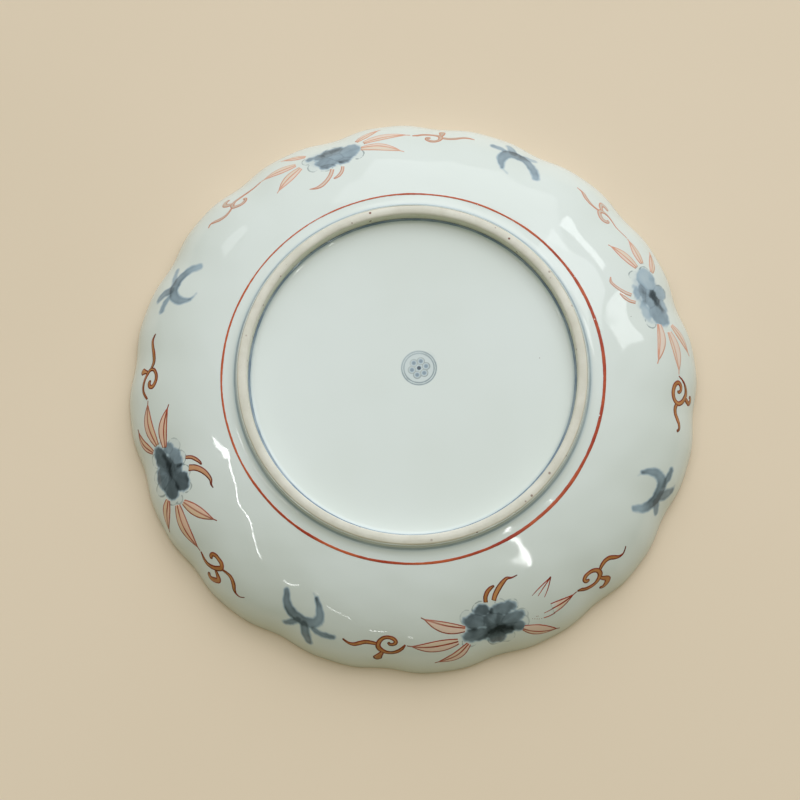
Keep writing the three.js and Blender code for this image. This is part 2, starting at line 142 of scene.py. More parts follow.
def unevenness(turn, distance):
    """Height of the wall's waves over its true curve."""
    total = 0.0
    for count, pace, start, height in WALL_WAVES:
        total = total + height * np.sin(count * turn + math.tau * pace * distance + start)
    off_rim = np.clip(distance / 6.0, 0.0, 1.0)
    off_foot = np.clip((distance_at(FOOT_TOP_OUTER) - distance) / 8.0, 0.0, 1.0)
    return total * (off_rim * off_foot)


def on_back(turn, distance, lift=0.0):
    """Places on the lobed back, in millimetres, from their direction and distance from the rim."""
    angle = np.interp(distance, LENGTHS, ANGLES)
    radius, height = back_at(angle)
    out = np.array([WALL_HEIGHT * np.cos(angle), (RIM_RADIUS - CROWN_RADIUS) * np.sin(angle)])
    out = out / np.hypot(out[0], out[1])
    lift = lift + unevenness(turn, distance)
    radius = radius + lobe_at(turn, radius) + out[0] * lift
    return np.stack([radius * np.cos(turn), radius * np.sin(turn), height + out[1] * lift], axis=-1)


def smoothstep(low, high, value):
    """0 up to low, 1 from high, and eased between them."""
    part = np.clip((value - low) / (high - low), 0.0, 1.0)
    return part * part * (3 - 2 * part)


def smooth_path(points):
    """A centripetal curve through given points: its places, its length at each, and at the points."""
    given = np.array([point[:2] for point in points], float)
    given = np.vstack([2 * given[0] - given[1], given, 2 * given[-1] - given[-2]])
    dense = []
    part = np.linspace(0.0, 1.0, PATH_STEPS, endpoint=False)[:, None]
    for before, start, end, after in zip(given, given[1:], given[2:], given[3:]):
        gaps = [math.sqrt(math.dist(a, b)) for a, b in ((before, start), (start, end), (end, after))]
        leave = (start - before) / gaps[0] - (end - before) / (gaps[0] + gaps[1]) + (end - start) / gaps[1]
        reach = (end - start) / gaps[1] - (after - start) / (gaps[1] + gaps[2]) + (after - end) / gaps[2]
        leave, reach = leave * gaps[1], reach * gaps[1]
        dense.append(start + leave * part + (3 * (end - start) - 2 * leave - reach) * part ** 2
                     + (2 * (start - end) + leave + reach) * part ** 3)
    dense = np.vstack(dense + [given[-2:-1]])
    length = np.concatenate(([0.0], np.cumsum(np.hypot(*np.diff(dense, axis=0).T))))
    return dense, length, length[::PATH_STEPS]


# Sprays, each painted by hand with its own strokes. A place is (u, s): u runs along the rim's
# direction from the middle of the blossom, and s over the back from the rim towards the foot.
# A leaf is its base, bow and tip, and its width. Any other stroke is a row of places, each with the
# brush's width there: (u, s, width).
SPRAY_RADIUS = 95.3
SPRAYS = {
    "left": {
        "turn": 197,
        "leaves": {
            "ahead": (
                ((8.6, 14.9), (12.4, 10.5), (17.5, 6.6), 4.2),
                ((12.2, 18.1), (19.7, 15.7), (30.0, 13.9), 5.1),
                ((12.6, 21.1), (18.1, 24.0), (26.4, 28.3), 4.6),
            ),
            "behind": (
                ((-9.5, 14.5), (-13.9, 10.9), (-19.6, 9.9), 3.7),
                ((-11.2, 17.6), (-19.5, 16.5), (-28.3, 17.7), 4.8),
                ((-9.3, 20.7), (-16.1, 22.7), (-24.9, 27.1), 4.0),
            ),
        },
        "scrolls": {
            "ahead": {
                "curl": ((30.9, 13.7, 0.8), (32.6, 13.0, 1.3), (34.3, 12.8, 1.6), (36.1, 13.4, 1.7),
                         (37.7, 14.5, 1.8), (39.1, 15.9, 2.1), (39.9, 17.3, 2.1), (39.0, 18.5, 2.0),
                         (37.1, 18.7, 1.8), (35.2, 18.5, 1.8), (34.1, 17.6, 1.8), (34.2, 16.6, 1.8),
                         (35.2, 16.3, 1.5)),
                "spur": ((38.5, 14.5, 1.0), (40.6, 13.5, 1.9), (41.7, 12.3, 2.3), (40.6, 10.9, 2.3),
                         (39.0, 9.8, 2.0), (37.7, 10.0, 1.7), (37.6, 11.2, 1.2)),
                "tail": ((40.1, 17.0, 0.9), (42.6, 17.6, 1.2), (44.3, 17.6, 1.5), (45.9, 16.8, 1.7),
                         (47.2, 15.5, 1.8), (48.2, 14.1, 1.4), (49.5, 13.2, 0.8), (51.1, 13.1, 0.5),
                         (52.7, 14.3, 0.4)),
            },
            "behind": {
                "curl": ((-29.3, 17.0, 1.1), (-30.4, 16.2, 1.2), (-31.9, 15.4, 1.2), (-34.0, 15.1, 1.3),
                         (-36.3, 15.5, 1.4), (-38.2, 16.4, 1.6), (-39.6, 17.6, 1.6), (-39.6, 19.2, 1.4),
                         (-38.4, 20.5, 1.4), (-36.5, 21.3, 1.5), (-34.6, 21.1, 1.6), (-33.0, 19.9, 1.8),
                         (-33.3, 18.6, 1.7), (-34.7, 18.2, 1.6), (-35.5, 18.9, 1.2)),
                "spur": ((-38.7, 16.7, 1.3), (-39.2, 14.8, 1.8), (-39.4, 13.4, 2.9), (-39.2, 12.2, 3.0)),
                "tail": ((-39.7, 17.8, 1.3), (-42.4, 18.6, 1.6), (-45.5, 18.0, 1.8), (-48.4, 17.0, 1.6),
                         (-50.5, 16.6, 1.4), (-52.2, 17.1, 1.0), (-53.4, 17.8, 0.5)),
            },
        },
        "hooks": (
            ((2.3, 28.8, 2.8), (3.4, 31.2, 2.6), (5.5, 33.2, 2.4), (8.3, 34.5, 2.0),
             (11.2, 34.9, 1.4), (12.8, 34.3, 0.9), (14.7, 34.3, 0.4)),
            ((-2.2, 28.7, 1.5), (-1.2, 31.0, 1.6), (0.6, 32.7, 1.6), (2.5, 33.8, 1.2),
             (3.6, 34.0, 0.7)),
        ),
    },
    "near": {
        "turn": 284,
        "leaves": {
            "ahead": (
                ((9.3, 14.8), (13.9, 11.1), (20.8, 5.9), 4.8),
                ((12.6, 17.7), (21.7, 16.9), (31.7, 16.2), 4.9),
                ((11.4, 21.6), (18.2, 24.5), (26.3, 28.1), 4.4),
            ),
            "behind": (
                ((-10.5, 15.4), (-15.4, 11.3), (-22.8, 9.1), 4.0),
                ((-14.0, 17.6), (-22.5, 16.8), (-32.1, 17.1), 5.1),
                ((-10.9, 21.8), (-18.5, 24.2), (-26.9, 28.6), 4.7),
            ),
        },
        "scrolls": {
            "ahead": {
                "curl": ((32.6, 15.9, 1.0), (33.5, 15.4, 1.5), (34.8, 14.4, 1.5), (36.8, 13.7, 1.6),
                         (38.8, 13.7, 1.5), (40.7, 14.6, 1.7), (42.1, 16.1, 2.1), (42.1, 17.8, 2.1),
                         (40.9, 18.9, 1.9), (39.0, 19.2, 1.6), (37.2, 18.8, 1.7), (36.2, 17.8, 1.7),
                         (36.7, 16.8, 1.7), (37.9, 17.0, 1.3)),
                "spur": ((41.0, 14.9, 1.2), (42.3, 13.3, 2.1), (43.2, 12.0, 2.5), (42.0, 10.5, 2.1),
                         (40.4, 9.9, 1.6), (39.1, 10.6, 1.2)),
                "tail": ((42.3, 17.2, 1.0), (44.3, 18.5, 1.6), (46.3, 19.1, 1.8), (48.2, 18.7, 1.9),
                         (49.7, 17.3, 1.8), (51.1, 16.0, 1.2), (52.8, 15.4, 0.7), (54.3, 15.9, 0.6),
                         (55.5, 16.6, 0.5)),
            },
            "behind": {
                "curl": ((-33.0, 16.8, 0.9), (-33.8, 15.5, 1.3), (-35.3, 13.9, 1.5), (-37.0, 12.9, 1.5),
                         (-39.0, 12.7, 1.7), (-41.0, 13.7, 2.1), (-42.1, 15.3, 2.0), (-42.0, 17.2, 1.9),
                         (-40.7, 19.0, 1.8), (-38.8, 19.6, 1.7), (-36.8, 19.1, 1.8), (-36.0, 17.9, 1.6),
                         (-37.0, 16.7, 1.5), (-38.4, 16.7, 1.4), (-38.3, 17.7, 1.0)),
                "spur": ((-40.2, 13.3, 1.3), (-41.2, 11.4, 2.2), (-42.0, 9.8, 3.4), (-42.2, 8.5, 2.6)),
                "tail": ((-42.2, 16.2, 1.4), (-44.3, 16.8, 1.8), (-46.8, 17.0, 1.9), (-48.8, 16.2, 1.9),
                         (-50.6, 15.4, 1.7), (-52.7, 15.6, 1.1), (-54.8, 16.7, 0.8)),
            },
        },
        "hooks": (
            ((2.2, 29.1, 1.9), (3.5, 31.0, 2.1), (5.6, 33.0, 2.2), (8.2, 34.7, 1.9),
             (10.4, 35.5, 1.3), (12.2, 35.0, 0.7), (14.9, 35.0, 0.4)),
            ((-1.0, 29.2, 1.8), (-0.5, 31.2, 1.9), (0.8, 32.9, 1.9), (2.6, 34.0, 1.6),
             (4.4, 34.5, 0.8)),
        ),
    },
    "right": {
        "turn": 15.7,
        "leaves": {
            "ahead": (
                ((8.9, 15.9), (12.3, 12.7), (17.0, 9.2), 3.2),
                ((13.2, 18.5), (18.4, 18.1), (24.2, 17.2), 3.6),
                ((12.3, 22.0), (18.0, 24.2), (25.4, 27.4), 3.9),
            ),
            "behind": (
                ((-12.0, 16.0), (-17.0, 12.6), (-23.0, 9.5), 3.6),
                ((-14.6, 18.5), (-21.7, 17.0), (-30.6, 17.1), 4.4),
                ((-11.5, 22.2), (-18.6, 23.5), (-27.5, 26.9), 3.9),
            ),
        },
        "scrolls": {
            "ahead": {
                "curl": ((25.1, 17.2, 0.5), (27.5, 17.3, 0.5), (30.1, 17.3, 0.6), (32.3, 16.6, 0.7),
                         (34.7, 16.2, 0.9), (36.8, 16.6, 1.3), (38.2, 17.6, 1.9), (38.5, 18.8, 2.0),
                         (37.3, 19.9, 1.9), (35.5, 20.3, 1.8), (33.9, 19.6, 1.7), (33.3, 18.7, 1.4),
                         (34.2, 18.2, 1.1)),
                "spur": ((38.0, 17.4, 1.3), (39.9, 16.0, 2.0), (40.3, 14.6, 2.2), (38.8, 13.8, 1.8),
                         (37.0, 13.9, 1.4)),
                "tail": ((38.8, 18.6, 0.9), (41.8, 19.5, 1.0), (43.8, 19.5, 1.3), (45.9, 18.9, 1.7),
                         (47.6, 17.9, 1.5), (49.0, 17.3, 0.8), (51.2, 17.1, 0.5)),
            },
            "behind": {
                "curl": ((-31.5, 16.6, 0.6), (-32.3, 15.3, 0.8), (-33.5, 14.0, 1.0), (-35.2, 12.9, 1.4),
                         (-37.0, 12.4, 1.9), (-38.9, 13.0, 2.1), (-40.5, 14.4, 1.9), (-41.2, 16.1, 1.9),
                         (-40.5, 17.8, 1.8), (-38.9, 18.9, 1.8), (-36.7, 19.3, 1.9), (-34.6, 18.7, 2.0),
                         (-33.6, 17.3, 1.8), (-34.5, 15.9, 1.6), (-36.1, 15.5, 1.5), (-37.1, 16.4, 1.3),
                         (-36.5, 17.2, 0.9)),
                "spur": ((-38.3, 13.0, 1.4), (-39.3, 11.2, 2.0), (-39.9, 9.8, 1.8), (-38.9, 8.6, 1.8),
                         (-37.7, 9.0, 1.5), (-37.6, 10.0, 1.1)),
                "tail": ((-41.0, 16.5, 1.6), (-43.2, 17.5, 1.8), (-45.3, 17.3, 1.7), (-47.0, 16.3, 1.8),
                         (-48.6, 15.4, 1.5), (-50.3, 15.3, 1.2), (-51.5, 16.4, 1.0)),
            },
        },
        "hooks": (
            ((2.1, 29.8, 1.5), (3.7, 31.9, 1.6), (5.7, 33.6, 1.4), (8.0, 35.0, 1.3),
             (10.3, 35.7, 1.2), (12.4, 34.8, 0.5)),
            ((-1.3, 29.0, 1.4), (-0.1, 31.3, 1.5), (2.0, 33.1, 1.5), (4.2, 34.3, 0.8)),
        ),
    },
    "far": {
        "turn": 104.9,
        "leaves": {
            "ahead": (
                ((9.6, 17.1), (13.4, 14.5), (18.0, 11.2), 3.0),
                ((14.5, 19.8), (21.0, 18.4), (28.6, 16.9), 3.9),
                ((13.5, 22.7), (19.5, 24.9), (27.2, 28.3), 4.1),
            ),
            "behind": (
                ((-10.2, 17.5), (-15.0, 14.6), (-20.0, 11.6), 3.3),
                ((-12.8, 19.7), (-20.6, 18.2), (-30.8, 17.9), 3.9),
                ((-11.3, 22.8), (-18.9, 24.3), (-28.3, 28.3), 4.3),
            ),
        },
        "scrolls": {
            "ahead": {
                "curl": ((29.4, 16.9, 0.7), (32.0, 17.0, 0.8), (35.5, 16.8, 1.1), (38.4, 16.8, 1.2),
                         (41.2, 17.1, 1.4), (42.8, 18.1, 1.8), (43.2, 19.4, 1.8), (41.8, 20.5, 1.6),
                         (39.9, 21.0, 1.5), (38.2, 20.4, 1.5), (37.5, 19.4, 1.3), (38.4, 18.9, 1.0)),
                "spur": ((42.3, 17.7, 1.4), (43.8, 16.2, 2.1), (44.4, 14.7, 2.2), (43.1, 13.3, 1.8),
                         (41.5, 13.4, 1.3)),
                "tail": ((43.2, 19.1, 0.9), (45.9, 20.2, 1.1), (48.2, 20.3, 1.3), (50.3, 19.3, 1.6),
                         (52.0, 17.9, 1.3), (53.4, 16.9, 0.8), (55.2, 17.5, 0.5)),
            },
            "behind": {
                "curl": ((-32.2, 18.0, 0.8), (-33.6, 17.6, 1.1), (-35.1, 16.7, 1.2), (-37.3, 16.0, 1.2),
                         (-39.8, 15.7, 1.3), (-41.7, 16.2, 1.8), (-42.3, 17.6, 2.0), (-41.8, 19.2, 1.6),
                         (-40.5, 20.2, 1.5), (-38.6, 20.4, 1.7), (-37.0, 19.5, 1.6), (-37.3, 18.4, 1.3),
                         (-38.5, 18.2, 1.1)),
                "spur": ((-41.9, 16.7, 1.6), (-42.5, 14.8, 2.0), (-42.5, 13.0, 2.6), (-42.2, 11.6, 2.4)),
                "tail": ((-42.5, 17.4, 1.5), (-45.5, 18.0, 1.6), (-47.7, 17.7, 1.7), (-49.7, 16.9, 1.4),
                         (-51.4, 16.3, 1.4), (-53.1, 16.2, 1.0), (-54.9, 16.4, 0.5)),
            },
        },
        "hooks": (
            ((2.3, 29.5, 1.8), (3.9, 32.1, 1.8), (6.4, 34.3, 1.8), (9.5, 35.7, 1.8),
             (12.2, 35.8, 1.2), (15.0, 34.9, 0.4)),
            ((-2.2, 29.6, 1.5), (-1.2, 31.8, 1.6), (0.6, 33.5, 1.6), (3.4, 34.6, 0.8)),
        ),
    },
}
POINT_WIDTH = 0.5                # width to which a leaf runs out
LEAD_IN = 0.7                    # a scroll's stem starts this much nearer to its leaf than its first place

# Where each leaf's rib lies across it, from -1 to 1, first to third leaf
RIBS = {
    "left": {"ahead": (0.15, -0.1, 0.0), "behind": (-0.1, 0.0, 0.25)},
    "near": {"ahead": (-0.35, 0.0, 0.0), "behind": (0.1, 0.05, 0.35)},
    "right": {"ahead": (0.0, 0.0, 0.1), "behind": (0.0, 0.35, 0.4)},
    "far": {"ahead": (0.0, 0.1, 0.0), "behind": (0.0, 0.2, -0.2)},
}

# The enamel has flaked off the bases of two leaves. One starts this far along, and of the other only
# lines are left. Each line left bare is a row of places, and a crumb is a speck of enamel.
FLAKED_START = {("near", "ahead", 2): 8.6}
BARE_LINES = {
    ("near", "ahead", 2): (
        ((17.0, 15.1, 0.45), (19.0, 14.7, 0.5), (21.4, 14.6, 0.5)),
        ((17.8, 16.9, 0.35), (19.6, 16.8, 0.4), (21.4, 16.8, 0.4)),
    ),
    ("near", "ahead", 3): (
        ((20.4, 22.6, 0.3), (23.3, 25.1, 0.45), (26.4, 28.1, 0.5)),
        ((18.5, 24.3, 0.3), (22.0, 26.2, 0.45), (26.4, 28.1, 0.5)),
        ((16.6, 25.5, 0.3), (20.6, 26.9, 0.45), (26.4, 28.1, 0.5)),
    ),
}
CRUMBS = ((13.2, 17.0), (13.9, 16.6), (14.6, 16.1), (15.3, 15.7), (16.1, 15.3), (14.8, 17.2),
          (15.3, 17.0))

# Blossoms in blue wash under the glaze, in each spray's own (u, s) places.
# A petal is its middle, its half length and half breadth, its lean in degrees and its depth of blue.
# A dark stroke is its path, its widths along it and how much deeper it is. A bare tip is the thin
# outline of a petal beyond the wash: middle, half sizes, and the stretch of the outline that was drawn.
# The petals were pulled outwards from the heart, and the wash is a faint oval under them all.
BLOSSOMS = {
    "left": {
        "heart": (0.0, 20.0),
        "petals": (
            (-6.2, 17.5, 4.2, 3.1, 0, 0.49), (0.8, 16.6, 4.6, 3.7, 5, 0.46),
            (6.2, 18.4, 3.9, 3.3, 15, 0.51),
            (5.5, 24.0, 3.8, 3.4, -20, 0.55), (-1.0, 21.2, 5.0, 2.3, 5, 0.60),
            (-4.2, 24.2, 4.6, 2.8, 12, 0.37),
            (-8.0, 22.6, 2.8, 2.2, 30, 0.35), (0.6, 24.0, 3.0, 2.2, 0, 0.42),
        ),
        "darks": (
            (((-6.6, 19.2), (-2.6, 20.4), (1.6, 20.3)), (1.6, 2.4, 1.6), 0.24),
            (((3.4, 21.0), (5.6, 21.5), (8.0, 21.6)), (0.8, 1.3, 0.8), 0.24),
            (((-2.6, 22.6), (0.2, 22.8)), (1.0, 0.8), 0.10),
            (((-0.4, 24.4), (-0.2, 27.0)), (0.7, 0.3), 0.40),
            (((5.0, 26.9), (6.6, 26.4)), (1.4, 0.8), 0.12),
        ),
        "wash": (0.0, 20.4, 10.6, 7.6, 0, 0.03),
        "tips": (
            (-6.1, 15.2, 2.7, 2.9, 180, 350), (-0.4, 13.8, 2.3, 2.8, 180, 340),
            (3.9, 14.2, 2.5, 3.4, 200, 370),
            (9.1, 17.5, 2.4, 2.9, 240, 385), (10.5, 19.8, 1.9, 1.9, -70, 100),
            (8.3, 24.9, 2.0, 2.4, -30, 110),
            (2.8, 26.5, 2.7, 2.5, 15, 165), (-3.1, 26.3, 2.9, 2.6, 10, 175),
            (-8.6, 25.2, 2.8, 2.7, 35, 235),
            (-10.2, 19.4, 1.4, 2.6, 120, 250),
        ),
    },
    "near": {
        "heart": (0.8, 18.4),
        "petals": (
            (-7.0, 18.0, 5.2, 2.9, -14, 0.46), (-0.2, 14.4, 3.4, 3.4, 0, 0.46),
            (3.2, 16.4, 3.4, 2.4, 10, 0.56),
            (7.9, 16.4, 2.5, 2.2, 0, 0.46), (0.4, 17.6, 4.6, 2.6, 0, 0.60), (6.2, 20.2, 5.0, 2.6, 8, 0.42),
            (-6.6, 23.4, 4.7, 3.0, -22, 0.46), (-3.4, 26.6, 3.2, 2.4, -10, 0.52),
            (4.2, 24.9, 5.5, 2.6, 5, 0.43),
            (0.0, 21.8, 4.6, 3.2, 0, 0.46),
        ),
        "darks": (
            (((-3.6, 15.9), (0.6, 16.8), (5.0, 16.6)), (2.2, 3.6, 2.0), 0.20),
            (((0.6, 18.2), (2.4, 18.3)), (1.8, 1.6), 0.10),
            (((-10.2, 21.3), (-8.6, 20.7), (-7.0, 20.3)), (0.4, 0.8, 0.5), 0.24),
            (((-2.2, 19.0), (-2.5, 22.0), (-2.4, 25.0)), (0.9, 0.7, 0.5), 0.10),
            (((0.7, 19.4), (1.4, 21.4), (2.4, 23.6)), (0.6, 0.6, 0.4), 0.10),
            (((-0.1, 25.0), (0.3, 26.6)), (0.8, 0.4), 0.30),
            (((5.9, 15.0), (5.4, 17.6)), (0.6, 0.5), 0.16),
        ),
        "wash": (0.0, 20.2, 10.8, 7.6, 0, 0.03),
        "tips": (
            (-1.0, 13.4, 2.7, 2.9, 170, 320), (2.9, 13.9, 2.9, 3.6, 215, 365),
            (10.0, 17.6, 2.0, 2.5, 275, 420),
            (10.5, 20.6, 2.2, 2.3, -50, 115), (8.6, 25.5, 2.1, 2.2, -55, 130),
            (4.2, 27.2, 2.0, 1.9, 10, 150),
            (-3.6, 27.9, 3.2, 2.4, 35, 185), (-9.5, 25.9, 2.6, 2.9, 60, 230),
            (-9.4, 16.6, 3.4, 2.8, 165, 290),
        ),
    },
    "right": {
        "heart": (0.0, 21.0),
        "petals": (
            (-7.4, 20.0, 4.8, 4.6, 0, 0.34), (0.8, 15.9, 2.9, 3.9, 0, 0.28),
            (-4.0, 16.2, 2.8, 2.0, 10, 0.24),
            (6.5, 18.8, 2.3, 2.4, 0, 0.38), (6.4, 20.4, 5.0, 4.4, 0, 0.20), (2.2, 24.0, 4.7, 2.1, -3, 0.47),
            (-5.6, 25.8, 4.6, 2.0, 0, 0.20), (2.4, 26.9, 3.2, 1.6, 0, 0.27),
            (-1.0, 21.6, 5.2, 3.2, 0, 0.31),
        ),
        "darks": (
            (((-5.8, 17.5), (-3.0, 18.4), (0.2, 19.6)), (1.8, 3.0, 3.2), 0.18),
            (((-2.0, 18.9), (0.6, 20.0)), (2.6, 3.2), 0.22),
        ),
        "wash": (-0.6, 21.6, 11.4, 6.6, 0, 0.12),
        "tips": (
            (0.8, 15.6, 3.0, 3.6, 190, 370), (9.4, 19.4, 2.6, 2.6, 240, 400),
            (9.6, 25.2, 1.9, 2.2, -60, 110),
            (-10.4, 25.6, 2.4, 2.2, 60, 240),
        ),
    },
    "far": {
        "heart": (0.0, 22.0),
        "petals": (
            (-6.2, 22.0, 4.7, 4.2, 0, 0.32), (-0.2, 19.4, 5.4, 3.1, 8, 0.40),
            (4.6, 20.6, 3.0, 2.0, 20, 0.40),
            (8.2, 19.9, 2.0, 1.3, 0, 0.36), (2.8, 24.4, 4.8, 3.2, 0, 0.36), (-3.4, 26.2, 3.6, 2.0, 0, 0.38),
            (3.6, 26.8, 3.0, 1.8, 0, 0.46), (-1.0, 23.0, 5.0, 3.2, 0, 0.31),
        ),
        "darks": (
            (((-4.6, 27.0), (-2.0, 27.0)), (1.2, 1.2), 0.13),
            (((-1.6, 26.6), (-1.4, 28.2)), (0.5, 0.4), 0.25),
            (((-3.0, 18.6), (1.0, 18.4), (4.0, 20.2)), (1.8, 2.4, 1.4), 0.07),
        ),
        "wash": (0.0, 22.4, 10.6, 6.0, 0, 0.08),
        "tips": (
            (-9.6, 25.6, 2.4, 2.6, 60, 215), (9.0, 25.4, 2.2, 2.4, -60, 110),
            (4.4, 28.2, 2.6, 1.4, 20, 170),
            (-1.0, 17.6, 3.0, 2.4, 190, 350), (10.2, 20.6, 1.8, 2.0, -90, 90),
        ),
    },
}

# Small birds in blue wash between the sprays: the wing is one stroke, with three short strokes behind.
# Each stroke is its path, its widths along it and its depths of blue along it.
BIRDS = {
    153.8: (
        (((-10.9, 25.0), (-8.0, 20.9), (-3.5, 18.9), (1.0, 19.2), (4.0, 21.8), (4.6, 25.2), (3.3, 28.8)),
         (2.4, 3.0, 3.6, 4.0, 3.7, 3.0, 1.0), (0.28, 0.30, 0.42, 0.44, 0.40, 0.36, 0.38)),
        (((3.4, 28.6), (2.2, 29.5), (0.4, 30.3)), (0.7, 0.4, 0.2), (0.34, 0.25)),
        (((-1.5, 17.6), (-4.5, 15.4), (-7.0, 14.0)), (2.0, 2.0, 1.5), (0.30, 0.26)),
        (((1.5, 17.8), (3.0, 15.2), (5.4, 13.2)), (3.2, 3.0, 2.2), (0.38, 0.34)),
        (((3.5, 18.8), (6.5, 17.7), (9.6, 17.3)), (1.4, 2.2, 2.0), (0.30, 0.34)),
    ),
    61.9: (
        (((-11.5, 25.0), (-8.5, 20.7), (-4.2, 17.2), (0.0, 17.2), (3.4, 19.4), (4.3, 23.2), (2.7, 27.4)),
         (2.4, 3.0, 3.4, 4.2, 4.2, 3.4, 1.4), (0.33, 0.35, 0.38, 0.42, 0.39, 0.37, 0.38)),
        (((2.6, 27.4), (1.4, 28.4), (-0.4, 29.2)), (0.6, 0.4, 0.2), (0.24, 0.15)),
        (((-2.2, 16.2), (-4.4, 15.0), (-6.6, 14.0)), (2.8, 2.8, 2.2), (0.26, 0.20)),
        (((1.6, 16.4), (2.6, 14.6), (3.8, 13.2)), (3.4, 3.2, 2.4), (0.34, 0.26)),
        (((4.6, 17.6), (7.0, 17.2), (9.3, 17.1)), (1.6, 2.2, 1.9), (0.28, 0.36)),
    ),
    331.2: (
        (((-10.6, 22.0), (-8.0, 17.6), (-4.2, 14.9), (0.0, 14.6), (3.7, 16.3), (5.2, 19.6), (4.4, 23.0),
          (2.9, 25.6)),
         (1.8, 2.7, 3.6, 4.2, 4.2, 3.4, 2.6, 1.3), (0.34, 0.33, 0.46, 0.48, 0.42, 0.34, 0.38, 0.44)),
        (((3.0, 25.4), (2.0, 26.1), (1.0, 26.6)), (0.6, 0.4, 0.2), (0.24, 0.15)),
        (((-3.6, 13.6), (-5.0, 12.0), (-6.3, 10.6)), (2.5, 2.8, 2.1), (0.40, 0.36)),
        (((-1.0, 13.0), (0.8, 10.6), (2.8, 8.9)), (3.4, 3.6, 2.4), (0.40, 0.40)),
        (((2.6, 8.8), (4.0, 8.6), (5.2, 8.7)), (1.2, 0.6, 0.2), (0.34, 0.2)),
        (((2.6, 14.5), (5.8, 14.2), (8.7, 14.1)), (1.6, 2.5, 1.9), (0.40, 0.42)),
    ),
    242.3: (
        (((-10.5, 25.6), (-8.2, 20.6), (-4.5, 17.9), (0.0, 17.6), (3.5, 18.8), (4.7, 21.6), (3.6, 25.0),
          (1.2, 28.2)),
         (1.7, 2.6, 3.8, 3.8, 3.8, 3.4, 2.4, 1.2), (0.42, 0.44, 0.50, 0.44, 0.39, 0.37, 0.38, 0.50)),
        (((1.2, 28.0), (0.4, 28.8), (-0.5, 29.4)), (0.7, 0.4, 0.2), (0.26, 0.15)),
        (((-2.4, 16.6), (-4.4, 14.2), (-6.3, 12.5)), (2.0, 2.1, 1.6), (0.44, 0.42)),
        (((0.4, 16.2), (1.8, 12.8), (3.7, 9.9)), (2.8, 3.3, 2.1), (0.44, 0.46)),
        (((3.8, 16.4), (7.0, 15.6), (11.2, 16.0)), (1.6, 2.0, 1.6), (0.40, 0.44)),
    ),
}

# The small round mark inside the foot: a plain rosette in a double circle
MARK_PLACE = (2.67, 2.29)        # it was not drawn quite in the middle
MARK_CIRCLES = (6.4, 5.6)
MARK_PETALS = 6
MARK_PETAL_RING = 2.7            # the petals' middles lie this far from the mark's
MARK_PETAL_RADIUS = 1.35
MARK_TURN = 0.2                  # direction of the first petal


def stroke_gap(u, s, path, widths):
    """Distance to a brush stroke's edge, negative inside it, and how far along it lies, 0 to 1."""
    places, length, _ = smooth_path(path)
    even = np.linspace(0, length[-1], STROKE_STEPS + 1)
    line = np.stack([np.interp(even, length, places[:, i]) for i in (0, 1)], axis=-1)
    halves = np.interp(even / length[-1], np.linspace(0, 1, len(widths)), widths) / 2
    gaps = np.hypot(u[:, None] - line[:, 0], s[:, None] - line[:, 1]) - halves
    return gaps.min(axis=1), gaps.argmin(axis=1) / STROKE_STEPS


def oval_gap(u, s, middle_u, middle_s, long, broad, lean=0.0):
    """Distance to an oval's edge, negative inside it."""
    lean = math.radians(lean)
    x = (u - middle_u) * math.cos(lean) + (s - middle_s) * math.sin(lean)
    y = (s - middle_s) * math.cos(lean) - (u - middle_u) * math.sin(lean)
    return (np.hypot(x / long, y / broad) - 1) * min(long, broad)


def drift(u, s, seed):
    """A small wander of hand-drawn edges, in millimetres."""
    return (0.16 * np.sin(1.3 * u + 0.7 * s + seed) + 0.12 * np.sin(0.9 * s - 2.1 * u + 2 * seed)
            + 0.07 * np.sin(3.4 * u + 2.9 * s + 3 * seed))


def streaks(u, s, middle, seed):
    """Strength of a wash pulled outwards with a full brush, around 1."""
    angle = np.arctan2(s - middle[1], u - middle[0])
    out = np.hypot(u - middle[0], s - middle[1])
    return 1 + (0.030 * np.sin(5 * angle + 0.5 * out + seed)
                + 0.025 * np.sin(11 * angle - 0.3 * out + 2.3 * seed)
                + 0.015 * np.sin(23 * angle + 0.2 * out + seed)
                + 0.030 * np.sin(1.1 * out + 3 * angle + seed))


def blossom_blue(u, s, blossom, seed):
    """Depth of blue, and distance to the nearest thin outline, of one blossom."""
    wander = drift(u, s, seed)
    gaps = np.stack([oval_gap(u, s, *petal[:5]) for petal in blossom["petals"]]) + wander
    depths = np.array([petal[5] for petal in blossom["petals"]])[:, None]
    weights = np.exp(-gaps / 0.9)
    depth = (weights * depths).sum(axis=0) / weights.sum(axis=0)
    nearest = np.sort(gaps, axis=0)
    seam = np.exp(-((nearest[1] - nearest[0]) / 0.35) ** 2) * smoothstep(0.8, -0.4, nearest[1])
    depth = (depth + 0.06 * seam) * smoothstep(0.75, -0.6, nearest[0])
    for path, widths, dark in blossom["darks"]:
        depth = depth + dark * smoothstep(0.9, -0.9, stroke_gap(u, s, path, widths)[0] + wander)
    depth = depth * streaks(u, s, blossom["heart"], seed)
    *oval, thin = blossom["wash"]
    depth = np.maximum(depth, thin * smoothstep(1.2, -1.2, oval_gap(u, s, *oval) + 1.5 * wander))
    lines = np.full(len(u), CIRCLE_REACH)
    for middle_u, middle_s, long, broad, start, end in blossom["tips"]:
        angle = np.radians(np.linspace(start, end, 9))
        path = [(middle_u + long * math.cos(a), middle_s + broad * math.sin(a)) for a in angle]
        lines = np.minimum(lines, np.abs(stroke_gap(u, s, path, (0, 0))[0] + 0.5 * wander))
    tips = [0.03 * smoothstep(0.4, -0.4, oval_gap(u, s, *tip[:4])) for tip in blossom["tips"]]
    return np.maximum(depth, np.max(tips, axis=0)), lines


